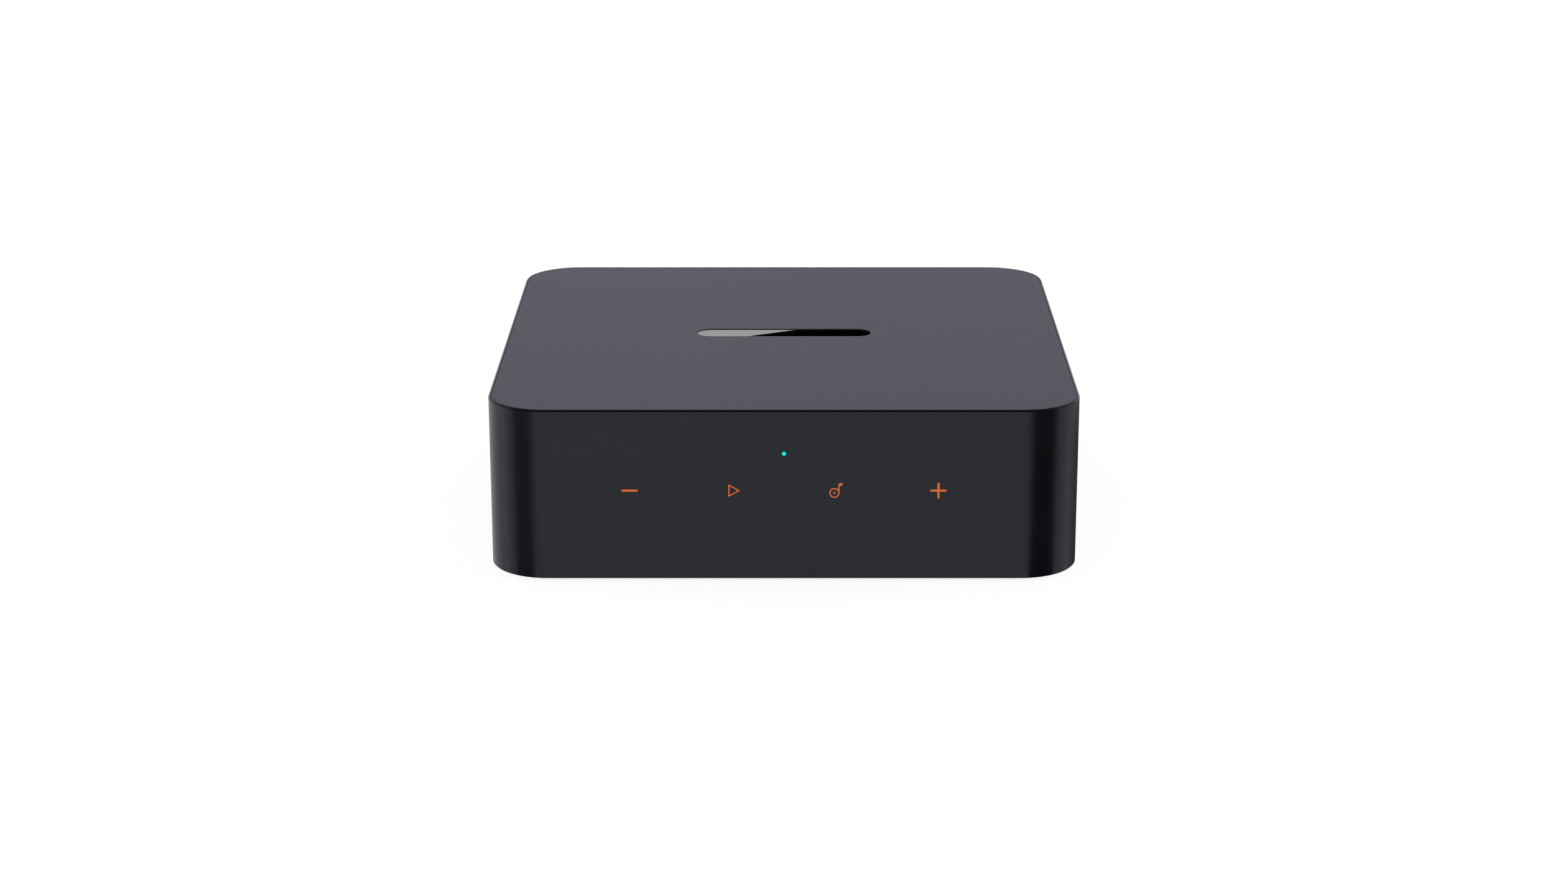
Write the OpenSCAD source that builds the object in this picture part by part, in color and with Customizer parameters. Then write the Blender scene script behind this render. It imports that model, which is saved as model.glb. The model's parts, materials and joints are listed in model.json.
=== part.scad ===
// Compact network music streamer: a rounded-square case with touch controls on the
// front, a satin top plate, a recessed rear panel of audio and network sockets, and
// the boards inside. Millimetres, +Z up, front towards -Y, origin on the table under
// the middle of the foot pad.

/* [Body] */
// Width of the body, left to right
body_w = 140; // [134:1:160]
// Depth of the body, front to rear
body_d = 140; // [134:1:160]
// Height from the table to the top face
body_h = 42; // [41:0.5:50]
// Radius of the vertical corners
corner_r = 14.25; // [10:0.25:18]
// Thickness of the side walls
wall = 2.2; // [1.8:0.1:2.6]
// Thickness of the deck under the top plate
deck = 1.8; // [1.4:0.1:2.4]
// Chamfer round the top edge
edge_chamfer = 0.4; // [0.2:0.05:0.6]
// Chamfer round the bottom edge
bottom_chamfer = 0.25; // [0.1:0.05:0.5]
// Flat of the rim between the top chamfer and the top plate
rim_flat = 0.15; // [0.1:0.05:0.3]
// Distance of the corner screw bosses from the outer faces
boss_inset = 9.5; // [9:0.25:11]
// Radius of the corner screw bosses
boss_r = 3.5; // [3:0.1:4]
// Thickness of the webs that tie the bosses to the walls
web_t = 1.4; // [1:0.1:2]

/* [Top plate] */
// Thickness of the top plate
plate_t = 1.2; // [1:0.1:2]
// Gap between the top plate and the rim
plate_gap = 0.1; // [0.05:0.05:0.2]
// Length of the polished inlay
inlay_w = 44; // [30:1:60]
// Width of the polished inlay
inlay_d = 7; // [4:0.5:10]
// Thickness of the polished inlay
inlay_t = 0.6; // [0.4:0.1:0.8]
// Depth of the inlay's face below the top face
inlay_sunk = 0.15; // [0.1:0.05:0.3]

/* [Base and foot] */
// Thickness of the base plate
base_t = 2.4; // [2.2:0.1:3]
// Gap between the base plate and the walls
base_gap = 0.15; // [0.1:0.05:0.3]
// Height of the locating lip on the base plate
lip_h = 3; // [2:0.5:4]
// Thickness of the locating lip
lip_t = 1.2; // [1:0.1:1.6]
// Length of each run of the locating lip
lip_run = 88; // [60:1:92]
// Radius of the standoffs
standoff_r = 3; // [2.5:0.1:3.5]
// Side of the foot pad
foot_side = 104; // [90:1:110]
// Corner radius of the foot pad
foot_r = 20; // [15:1:26]
// How far the foot pad stands below the base plate
foot_proud = 0.6; // [0.4:0.1:1.2]
// How deep the foot pad sits in the base plate
foot_sunk = 0.8; // [0.5:0.1:1]
// Chamfer round the foot pad's lower edge
foot_chamfer = 0.25; // [0.1:0.05:0.35]

/* [Rear panel] */
// Thickness of the rear panel
panel_t = 2; // [1.6:0.1:2.4]
// Depth of the panel's face inside the rear face of the body
panel_recess = 0.8; // [0.6:0.1:1]
// Width of the body's lip round the panel
panel_lip = 1.2; // [0.8:0.1:1.6]
// Panel width beyond the outermost sockets, each side
panel_margin = 1.6; // [1.4:0.1:2]
// Height of the panel's top edge below the deck
panel_head = 1.5; // [1:0.1:2]
// Gap between neighbouring sockets
socket_gap = 1.6; // [1.2:0.1:1.7]
// How far the sockets stand proud of the panel
socket_proud = 0.4; // [0.2:0.1:0.8]

/* [Main board] */
// Thickness of the main board
board_t = 1.6; // [1.2:0.1:2]
// Depth of the main board, front to rear
board_d = 102; // [98:1:106]
// Gap between the main board and the bosses beside it
board_gap = 0.8; // [0.5:0.1:1.5]
// Gap between the main board's rear edge and the panel
board_rear_gap = 0.7; // [0.3:0.1:1]
// Gap between the stacked phono jacks on the board and the deck above them
block_gap = 2.4; // [1.9:0.1:4]
// Distance of the front standoffs from the board's edges, and of the rear ones from its sides
standoff_inset = 4.5; // [4:0.1:6]
// Distance of the rear standoffs from the board's rear edge
standoff_rear = 30; // [28:0.5:34]

/* [Phono jacks] */
// Width of a jack block
phono_w = 12; // [11.4:0.1:12.4]
// Depth of a jack block behind the panel
phono_d = 12; // [11:0.5:14]
// Height of the lower jack's axis above the board
phono_axis = 6.5; // [6:0.1:7]
// Height between stacked jacks
phono_pitch = 14; // [13.8:0.1:14.6]
// Block height above its uppermost jack axis
phono_head = 6.5; // [6:0.1:7]
// Radius of the collar that passes through the panel
phono_collar_r = 4.9; // [4.7:0.05:5]
// Outer radius of the metal sleeve
sleeve_r = 4.15; // [4.05:0.05:4.25]
// Wall of the metal sleeve
sleeve_t = 0.6; // [0.5:0.05:0.7]
// How far the sleeve stands out from the collar
sleeve_reach = 9; // [8:0.5:10]
// Chamfer at the sleeve's mouth
sleeve_chamfer = 0.35; // [0.2:0.05:0.5]
// Radius of the sleeve's shoulder against the collar
shoulder_r = 4.6; // [4.4:0.05:4.65]
// Thickness of the sleeve's shoulder
shoulder_t = 0.6; // [0.4:0.1:1]
// How far the sleeve reaches into the block
sleeve_root = 5; // [4:0.5:6]
// How far the insulator reaches into the block
insulator_root = 7; // [6.5:0.5:8]
// Depth of the insulator's face inside the sleeve's mouth
insulator_sunk = 0.5; // [0.3:0.1:1]
// Radius of the centre hole
pin_hole_r = 1.7; // [1.65:0.05:1.8]
// Outer radius of the centre contact
contact_r = 2.2; // [2.1:0.05:2.4]
// Length of the centre contact's tube
contact_l = 5; // [4:0.5:6]
// How much narrower the centre contact is than the hole in front of it, on the radius
contact_grip = 0.05; // [0.03:0.01:0.08]
// Thickness of the centre contact's closed end
contact_end_t = 0.6; // [0.4:0.1:1]
// Radius of the rod behind the centre contact
contact_rod_r = 0.8; // [0.6:0.1:1]
// Thickness of the contact's solder tail
tail_t = 0.5; // [0.4:0.1:0.8]
// Width of the contact's solder tail
tail_w = 1.2; // [1:0.1:1.6]
// Distance between the tails of stacked jacks
tail_pitch = 2; // [1.5:0.1:3]

/* [Optical sockets] */
// Width of an optical socket
optical_w = 9.7; // [9.5:0.1:10]
// Height of an optical socket
optical_h = 10.9; // [10.7:0.1:11.5]
// Depth of an optical socket
optical_d = 13.5; // [13:0.25:15]
// Width of the plug opening
optical_open_w = 8.2; // [8:0.05:8.3]
// Height of the plug opening
optical_open_h = 7.6; // [7.4:0.05:7.7]
// Size of the opening's two cut lower corners
optical_key = 1.2; // [0.8:0.1:1.6]
// Height of the opening above the board
optical_sill = 1.6; // [1.5:0.1:1.7]
// Thickness of the frame in front of the shutter
optical_frame_t = 1; // [0.8:0.1:1.2]
// Depth of the space behind the frame
optical_cavity_d = 9.2; // [9:0.1:9.4]
// Step of the space behind the frame past the opening, each side
optical_side_step = 0.2; // [0.15:0.05:0.25]
// Step of the space behind the frame below the opening
optical_floor_step = 0.4; // [0.3:0.05:0.5]
// Thickness of the roof over the shutter
optical_roof = 0.5; // [0.4:0.05:0.6]
// Thickness of the shutter
shutter_t = 0.8; // [0.6:0.05:0.9]
// Radius of the shutter's hinge pin
shutter_pin_r = 0.45; // [0.4:0.05:0.5]
// Radial clearance of the hinge pin in its bores
shutter_pin_gap = 0.05; // [0.02:0.01:0.08]
// How far the pin runs into each side wall
shutter_pin_seat = 0.4; // [0.3:0.05:0.45]
// Clearance between the pin and the frame or roof
shutter_pin_room = 0.15; // [0.1:0.05:0.2]
// Clearance at the shutter's sides
shutter_side_gap = 0.1; // [0.05:0.05:0.15]
// Clearance under the shutter
shutter_floor_gap = 0.25; // [0.2:0.05:0.3]
// Thickness of the shutter's leaf spring
spring_t = 0.12; // [0.1:0.01:0.15]
// Width of the shutter's leaf spring
spring_w = 3; // [2:0.5:5]
// Length of the spring's foot against the roof
spring_foot = 2.6; // [2:0.1:3.5]
// Side of the light element's package
element_side = 5; // [4:0.1:5.5]
// Depth of the light element's package
element_d = 2.2; // [1.8:0.1:2.6]
// Width of the light element's legs
leg_w = 0.5; // [0.4:0.05:0.6]
// Thickness of the light element's legs
leg_t = 0.4; // [0.3:0.05:0.5]
// Pitch of the light element's legs
leg_pitch = 1.8; // [1.3:0.1:2]
// Radius of the light guide behind the opening
guide_r = 1.3; // [1.2:0.05:1.4]

/* [Trigger jack] */
// Width of the trigger jack's body
trigger_w = 7; // [6.6:0.1:7.4]
// Height of the trigger jack's body
trigger_h = 7; // [6.6:0.1:8]
// Depth of the trigger jack's body behind the panel
trigger_d = 12; // [11:0.5:14]
// Radius of the nose that passes through the panel
trigger_nose_r = 2.9; // [2.6:0.1:3.1]
// Radius of the plug bore
trigger_bore_r = 1.8; // [1.75:0.05:1.9]
// Depth of the bore behind the panel's inner face
trigger_bore_d = 10; // [9:0.5:10.5]
// Thickness of the contact strips
strip_t = 0.3; // [0.2:0.05:0.4]
// Width of the contact strips
strip_w = 2; // [1.5:0.1:2.4]

/* [Network jack] */
// Width of the network jack
lan_w = 16; // [15.6:0.1:16.4]
// Height of the network jack
lan_h = 13.5; // [13.2:0.1:14]
// Depth of the network jack
lan_d = 18; // [17.5:0.5:20]
// Thickness of the metal shield
shield_t = 0.3; // [0.2:0.05:0.4]
// Width of the shield's front rim
shield_rim = 0.6; // [0.5:0.05:0.7]
// Width of the plug opening
lan_open_w = 11.9; // [11.7:0.05:12]
// Height of the plug opening
lan_open_h = 7.4; // [7.2:0.1:7.6]
// Height of the plug opening above the board
lan_sill = 3.2; // [3:0.1:3.3]
// Depth of the plug opening
lan_open_d = 13; // [12.5:0.5:14]
// Width of the latch notch
latch_w = 6.4; // [6.2:0.1:6.6]
// Depth of the latch notch below the opening
latch_h = 1.6; // [1.4:0.1:1.7]
// Width of the narrower notch below the latch notch
latch_key_w = 3.6; // [3.2:0.1:4]
// Depth of the narrower notch
latch_key_h = 0.9; // [0.6:0.1:1]
// Number of contacts
lan_ways = 8; // [4:2:8]
// Pitch of the contacts
lan_pitch = 1.02; // [0.95:0.01:1.06]
// Width of a contact
lan_wire_w = 0.4; // [0.3:0.05:0.5]
// Thickness of a contact
lan_wire_t = 0.3; // [0.2:0.05:0.35]
// How far a contact's free end hangs below the roof of the opening
lan_wire_drop = 2.7; // [2.2:0.1:2.8]
// Distance of the contacts' bend from the front of the opening
lan_wire_bend = 2.5; // [2:0.1:3.5]
// Distance of the contacts' free ends from the end of the opening
lan_wire_tip = 2; // [1.5:0.1:3]
// Width of an activity light
light_w = 2.6; // [2.2:0.1:2.8]
// Height of an activity light
light_h = 1.7; // [1.4:0.1:1.8]
// Length of an activity light's guide
light_d = 13; // [10:0.5:14]

/* [Power socket] */
// Width of the power socket's shell
power_w = 8.94; // [8.8:0.02:9.1]
// Height of the power socket's shell
power_h = 3.26; // [3.2:0.02:3.4]
// Depth of the power socket's shell
power_d = 7.35; // [7:0.05:8]
// Thickness of the shell
power_shell_t = 0.3; // [0.25:0.05:0.35]
// Depth of the block that closes the shell's rear
power_block_d = 2.4; // [2:0.1:2.8]
// Width of the tongue
tongue_w = 6.7; // [6.5:0.05:6.8]
// Thickness of the tongue
tongue_t = 0.7; // [0.6:0.05:0.75]
// Length of the tongue
tongue_l = 4.4; // [4:0.1:4.5]
// Contacts on each side of the tongue
tongue_ways = 12; // [6:2:12]
// Pitch of the tongue's contacts
tongue_pitch = 0.5; // [0.45:0.01:0.52]
// Width of a tongue contact
tongue_pad_w = 0.26; // [0.2:0.02:0.3]
// Length of a tongue contact
tongue_pad_l = 3.5; // [3:0.1:3.8]
// Thickness of a tongue contact
tongue_pad_t = 0.06; // [0.04:0.01:0.1]

/* [Touch board] */
// Width of the touch board
touch_w = 96; // [92:1:98]
// Height of the touch board
touch_h = 22; // [20:0.5:24]
// Thickness of the touch board
touch_t = 1; // [0.8:0.1:1.4]
// Height of the touch symbols' row above the table
touch_row_z = 22.3; // [21:0.1:23]
// Height of the touch board's middle above the symbols' row
touch_lift = 1.1; // [0:0.1:2]
// Distance from the middle to the inner touch symbols
touch_inner_x = 12; // [10:0.1:14]
// Distance from the middle to the outer touch symbols
touch_outer_x = 36.2; // [34:0.1:38]
// Radius of a touch electrode
touch_pad_r = 4.5; // [3.5:0.1:5]
// Thickness of a touch electrode
touch_pad_t = 0.1; // [0.06:0.01:0.15]
// Height of the status light above the table
status_z = 31.5; // [30.5:0.1:32]
// Radius of the status light's lens
status_r = 0.57; // [0.4:0.01:0.8]
// Radius of the status light pipe's root
status_root_r = 0.95; // [0.9:0.05:1.2]
// Side of the status lamp
lamp_side = 2.8; // [2.6:0.1:3.2]
// Thickness of the status lamp
lamp_t = 0.8; // [0.6:0.1:1.2]
// Radius of the heat-staked posts that hold the touch board
stake_r = 1; // [0.8:0.1:1.2]
// Radius of the posts' formed heads
stake_head_r = 1.7; // [1.5:0.1:2]
// Thickness of the posts' formed heads
stake_head_t = 0.6; // [0.4:0.1:1]
// Distance of the posts from the touch board's edges
stake_inset = 3.5; // [3:0.1:4]

/* [Flat cable] */
// Width of the flat cable
flex_w = 10; // [8:0.5:12]
// Thickness of the flat cable
flex_t = 0.3; // [0.2:0.05:0.4]
// Sideways place of the flat cable
flex_x = 20; // [16:0.5:22]
// How strongly the flat cable dips below its upper connector
flex_dip = 6; // [4:0.5:7]
// How far the flat cable runs level before its lower connector
flex_level = 18; // [12:0.5:20]
// Width of a flat cable connector past the cable, each side
connector_side = 1.5; // [1:0.1:2]
// Depth of a flat cable connector
connector_d = 4; // [3:0.1:5]
// Height of a flat cable connector
connector_h = 1.8; // [1.4:0.1:2.4]

/* [Streaming module] */
// Side of the module's board
module_side = 34; // [32:0.5:36]
// Thickness of the module's board
module_t = 1; // [0.8:0.1:1.4]
// Sideways place of the module
module_x = -24; // [-26:0.5:-22]
// Distance from the main board's front edge to the module's middle
module_back = 28; // [26:0.5:30]
// Height of the header strips under the module
header_h = 2; // [1.6:0.1:3]
// Width of the header strips
header_w = 2.5; // [2:0.1:3]
// Side of the shield can
can_side = 27; // [25:0.5:28]
// Height of the shield can
can_h = 2.4; // [2:0.1:3]
// Thickness of the shield can's sheet
can_t = 0.3; // [0.2:0.05:0.4]
// Side of the processor
processor_side = 12; // [10:0.5:13]
// Length of the memory chip
memory_l = 10; // [8:0.5:11]
// Width of the memory chip
memory_w = 7; // [6:0.5:8]
// Gap between the processor and the memory chip
chip_gap = 2; // [1:0.1:2.5]
// Height of the module's chips
chip_h = 1.2; // [0.8:0.1:1.4]
// Thickness of the thermal pad
pad_t = 0.5; // [0.3:0.1:1]
// Side of the thermal pad
pad_side = 20; // [16:0.5:24]
// Side of the heat sink
sink_side = 26; // [24:0.5:30]
// Thickness of the heat sink's base
sink_base = 2; // [1.5:0.1:3]
// Height of the heat sink's fins
sink_fin_h = 7; // [5:0.5:9]
// Thickness of a heat sink fin
sink_fin_t = 1; // [0.8:0.1:1.2]
// Number of heat sink fins
sink_fins = 8; // [5:1:9]

/* [Antennas] */
// Length of an antenna board
antenna_l = 36; // [30:1:42]
// Height of an antenna board
antenna_h = 10; // [8:0.5:12]
// Thickness of an antenna board
antenna_t = 0.8; // [0.6:0.1:1]
// Distance of an antenna board's middle below the top face
antenna_drop = 15; // [13:0.5:17]
// Distance of an antenna board's middle in front of the body's middle
antenna_front = 12; // [8:0.5:16]
// Radius of an antenna lead
lead_r = 0.55; // [0.45:0.05:0.65]
// Bend radius of an antenna lead
lead_bend = 4; // [3:0.5:6]

/* [Board parts] */
// Radius of a filter capacitor
cap_r = 3.15; // [2.5:0.05:3.3]
// Height of a filter capacitor
cap_h = 7.7; // [6:0.1:10]
// Pitch of the filter capacitors
cap_pitch = 9; // [7:0.1:9.5]
// Depth of a filter capacitor's square foot
cap_foot_h = 0.8; // [0.6:0.1:1.2]
// Gap between a capacitor and the edge of its square foot
cap_foot_rim = 0.15; // [0.1:0.05:0.3]
// Distance of the converter chips in front of the phono blocks
converter_front = 9; // [6:0.5:12]
// Distance of the filter capacitors in front of the converter chips
cap_front = 7; // [5:0.5:9]
// Side of a converter chip
converter_side = 7; // [6:0.1:8]
// Height of a converter chip
converter_h = 1.1; // [0.8:0.1:1.4]
// Width of the network transformer
transformer_w = 15.5; // [14:0.1:16]
// Depth of the network transformer
transformer_d = 9.5; // [8:0.1:10]
// Height of the network transformer
transformer_h = 6; // [5:0.1:7]
// Gap between the network jack and its transformer
transformer_gap = 4; // [2:0.5:6]
// Gap behind and between the power inductors
inductor_gap = 2; // [1:0.1:3]
// Side of a power inductor
inductor_side = 6.6; // [6:0.1:7]
// Height of a power inductor
inductor_h = 4; // [3:0.1:5]

/* [Fasteners] */
// Shank radius of the case screws
case_screw_r = 1.4; // [1.2:0.05:1.6]
// Head radius of the case screws
case_head_r = 2.7; // [2.4:0.1:2.9]
// Head height of the case screws
case_head_h = 1.1; // [0.9:0.1:1.2]
// Shank length of the case screws
case_screw_l = 11; // [9:0.5:14]
// Shank radius of the board screws
board_screw_r = 1.15; // [1:0.05:1.3]
// Head radius of the board screws
board_head_r = 2.2; // [2:0.1:2.5]
// Head height of the board screws
board_head_h = 1.4; // [1.2:0.1:1.8]
// How far the board screws stop short of the base plate
board_screw_short = 0.6; // [0.4:0.1:2]
// Shank radius of the panel screws
panel_screw_r = 1; // [0.9:0.05:1.15]
// Head radius of the panel screws
panel_head_r = 1.85; // [1.7:0.05:1.9]
// Head height of the panel screws
panel_head_h = 1.2; // [1:0.1:1.5]
// Shank length of the panel screws
panel_screw_l = 7; // [6:0.5:8]

/* [Hidden] */
$fn = 72;
// Clearances: parts that slip together, and pieces that are pressed home
slip = 0.1;
snug = 0.05;
// Length by which a cutter runs past a face, and one body reaches into the next
past = 1;

// Heights
z_body = foot_proud;
z_floor = z_body + base_t;
z_deck_top = body_h - plate_t;
z_deck = z_deck_top - deck;
z_panel_top = z_deck - panel_head;
z_parts = z_deck - block_gap - phono_head - phono_pitch - phono_axis;
z_board = z_parts - board_t;
standoff_h = z_board - z_floor;

// Depths
y_rear = body_d / 2;
y_panel_out = y_rear - panel_recess;
y_panel_in = y_panel_out - panel_t;
y_socket = y_panel_out + socket_proud;
y_front_in = wall - body_d / 2;
y_board_rear = y_panel_in - board_rear_gap;
y_board_front = y_board_rear - board_d;

// The corner bosses and the board between them
boss_x = body_w / 2 - boss_inset;
boss_y = body_d / 2 - boss_inset;
board_w = 2 * (boss_x - boss_r - board_gap);
standoff_x = board_w / 2 - standoff_inset;
standoff_ys = [y_board_front + standoff_inset, y_board_rear - standoff_rear];
board_screw_l = board_t + standoff_h - board_screw_short;
rim_t = edge_chamfer + rim_flat;

// The row of sockets, from +X to -X
SOCKET_W = [phono_w, phono_w, phono_w, optical_w, optical_w, trigger_w, lan_w, power_w];
function sum_to(v, n) = n <= 0 ? 0 : v[n - 1] + sum_to(v, n - 1);
row_w = sum_to(SOCKET_W, len(SOCKET_W)) + (len(SOCKET_W) - 1) * socket_gap;
function socket_x(i) = row_w / 2 - sum_to(SOCKET_W, i) - i * socket_gap - SOCKET_W[i] / 2;
line_in_x = socket_x(0);
line_out_x = socket_x(1);
coax_x = socket_x(2);
optical_out_x = socket_x(3);
optical_in_x = socket_x(4);
trigger_x = socket_x(5);
lan_x = socket_x(6);
power_x = socket_x(7);
panel_w = row_w + 2 * panel_margin;
window_w = panel_w - 2 * panel_lip;

// Phono jacks
z_low_jack = z_parts + phono_axis;
z_high_jack = z_low_jack + phono_pitch;
z_panel_screw = z_low_jack + phono_pitch / 2;
y_collar = y_panel_out + socket_proud;
y_sleeve_root = y_panel_in - sleeve_root;
y_insulator_root = y_panel_in - insulator_root;
y_mouth = y_collar + sleeve_reach;
insulator_r = sleeve_r - sleeve_t - snug;
coax_block_h = phono_axis + phono_pitch / 2 + 2 * panel_head_r;
PANEL_SCREW_XS = [line_in_x, line_out_x, coax_x];

// Optical sockets
y_frame_in = y_socket - optical_frame_t;
y_cavity_rear = y_frame_in - optical_cavity_d;
z_open = z_parts + optical_sill;
z_cavity_floor = z_open - optical_floor_step;
z_roof = z_parts + optical_h - optical_roof;
optical_cavity_w = optical_open_w + 2 * optical_side_step;
y_hinge = y_frame_in - shutter_pin_r - shutter_pin_room;
z_hinge = z_roof - shutter_pin_r - shutter_pin_room;
z_guide = z_open + optical_open_h / 2;

// Trigger jack, network jack and power socket
z_trigger = z_parts + trigger_h / 2;
strip_y = y_panel_in - trigger_bore_d + strip_w;
z_lan_open = z_parts + lan_sill;
z_lan_roof = z_lan_open + lan_open_h;
lan_body_w = lan_w - 2 * shield_t - 2 * snug;
lan_body_front = y_socket - shield_t - snug;
lan_light_x = lan_body_w / 2 - light_w / 2 - shield_rim;
lan_light_z = z_parts + lan_sill - latch_h / 2 - light_h / 2;
z_power = z_parts + power_h / 2;
y_power = y_panel_out + slip;

// Touch board
y_touch = y_front_in + touch_pad_t;
z_touch = touch_row_z + touch_lift;
TOUCH_XS = [-touch_outer_x, -touch_inner_x, touch_inner_x, touch_outer_x];
stake_x = touch_w / 2 - stake_inset;
stake_dz = touch_h / 2 - stake_inset;
z_connector = z_touch - touch_h / 2 + connector_h;

// Streaming module
module_y = y_board_front + module_back;
z_module = z_parts + header_h;
z_can = z_module + module_t;
z_pad = z_can + can_h;
z_sink = z_pad + pad_t;

// Shared shapes

// A rectangle with four round corners, centred
module round_rect(w, d, r) {
    square([w - 2 * r, d], center = true);
    square([w, d - 2 * r], center = true);
    for (sx = [-1, 1], sy = [-1, 1])
        translate([sx * (w / 2 - r), sy * (d / 2 - r)]) circle(r);
}

// A rectangle with fully round ends, centred
module pill(w, h) {
    square([w - h, h], center = true);
    for (side = [-1, 1]) translate([side * (w - h) / 2, 0]) circle(d = h);
}

// A flat slab with round corners, from z upward
module round_slab(w, d, r, z, h) {
    translate([0, 0, z]) linear_extrude(h) round_rect(w, d, r);
}

// A ring that follows a rounded outline. Its section is the child, with x = 0 on the
// outer face, negative x inward and y as height
module outline_ring(w, d, r) {
    for (sx = [-1, 1], sy = [-1, 1])
        translate([sx * (w / 2 - r), sy * (d / 2 - r), 0])
            rotate([0, 0, atan2(sy, sx) - 45])
                rotate_extrude(angle = 90) translate([r, 0]) children();
    for (turn = [0, 180])
        rotate([0, 0, turn]) translate([w / 2, 0, 0])
            rotate([90, 0, 0]) linear_extrude(d - 2 * r, center = true) children();
    for (turn = [90, 270])
        rotate([0, 0, turn]) translate([d / 2, 0, 0])
            rotate([90, 0, 0]) linear_extrude(w - 2 * r, center = true) children();
}

// A box placed by its middle in x, its rear-going start in y and its foot in z
module block(x, y, z, w, d, h) {
    translate([x - w / 2, y, z]) cube([w, d, h]);
}

// Places a child that is made along +Z so that it runs along +Y
module along_y(x, y, z) {
    translate([x, y, z]) rotate([-90, 0, 0]) children();
}

// A turned tube
module tube(r_out, r_in, h) {
    difference() {
        cylinder(r = r_out, h = h);
        translate([0, 0, -past]) cylinder(r = r_in, h = h + 2 * past);
    }
}

// A screw made along +Z, head down: head, shank and a cross recess in the head
module screw(head_r, head_h, shank_r, shank_l) {
    slot_l = 1.2 * head_r;
    slot_w = 0.28 * head_r;
    slot_h = 0.6 * head_h;
    difference() {
        union() {
            cylinder(r = head_r, h = head_h);
            translate([0, 0, head_h / 2]) cylinder(r = shank_r, h = shank_l + head_h / 2);
        }
        for (turn = [0, 90])
            rotate([0, 0, turn])
                translate([-slot_l / 2, -slot_w / 2, -past]) cube([slot_l, slot_w, slot_h + past]);
    }
}

// The four corner screw places
module at_bosses() {
    for (sx = [-1, 1], sy = [-1, 1])
        translate([sx * boss_x, sy * boss_y, 0]) children();
}

// The four main board screw places
module at_standoffs() {
    for (sx = [-1, 1], y = standoff_ys)
        translate([sx * standoff_x, y, 0]) children();
}

// The four heat-staked posts of the touch board, running rearward
module at_stakes(y) {
    for (sx = [-1, 1], sz = [-1, 1])
        along_y(sx * stake_x, y, z_touch + sz * stake_dz) children();
}

// Case

// Section of the housing's wall, with both chamfers and the seat of the top plate
module wall_section() {
    polygon([
        [-bottom_chamfer, z_body],
        [0, z_body + bottom_chamfer],
        [0, body_h - edge_chamfer],
        [-edge_chamfer, body_h],
        [-rim_t, body_h],
        [-rim_t, z_deck_top],
        [-wall, z_deck_top],
        [-wall, z_body],
    ]);
}

module boss_with_webs() {
    cylinder(r = boss_r, h = z_deck + past / 2 - z_floor);
    for (turn = [0, 90])
        rotate([0, 0, turn])
            translate([0, -web_t / 2, lip_h + past])
                cube([boss_inset - wall + past / 2, web_t, z_deck + past / 2 - z_floor - lip_h - past]);
}

module upper_housing() {
    pilot_l = case_screw_l;
    color("#1c1c1f") difference() {
        union() {
            outline_ring(body_w, body_d, corner_r) wall_section();
            round_slab(body_w - wall, body_d - wall, corner_r - wall / 2, z_deck, deck);
            for (sx = [-1, 1], sy = [-1, 1])
                translate([sx * boss_x, sy * boss_y, z_floor])
                    rotate([0, 0, atan2(sy, sx) - 45]) boss_with_webs();
            at_stakes(y_front_in - past / 2)
                cylinder(r = stake_r, h = past / 2 + touch_pad_t + touch_t + past / 4);
            at_stakes(y_touch + touch_t) cylinder(r = stake_head_r, h = stake_head_t);
        }
        at_bosses() translate([0, 0, z_floor - past])
            cylinder(r = case_screw_r + snug, h = pilot_l + past);
        // The pocket that the rear panel slides up into, and the window in front of it
        block(0, y_panel_in - past, z_body - past, panel_w + 2 * slip, panel_t + past,
            z_panel_top + slip - z_body + past);
        block(0, y_panel_out - past, z_body - past, window_w, panel_recess + 2 * past,
            z_panel_top - panel_lip - z_body + past);
        along_y(0, -body_d / 2 - past, status_z) cylinder(r = status_r + snug, h = wall + 2 * past);
    }
}

module inlay_outline(grow) {
    pill(inlay_w + 2 * grow, inlay_d + 2 * grow);
}

module top_plate() {
    inset = 2 * (rim_t + plate_gap);
    color("#3c3c42") difference() {
        round_slab(body_w - inset, body_d - inset, corner_r - inset / 2, z_deck_top, plate_t);
        translate([0, 0, body_h - inlay_sunk - inlay_t])
            linear_extrude(inlay_t + inlay_sunk + past) inlay_outline(snug);
    }
}

module mirror_inlay() {
    color("#050505") translate([0, 0, body_h - inlay_sunk - inlay_t])
        linear_extrude(inlay_t) inlay_outline(0);
}

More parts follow.
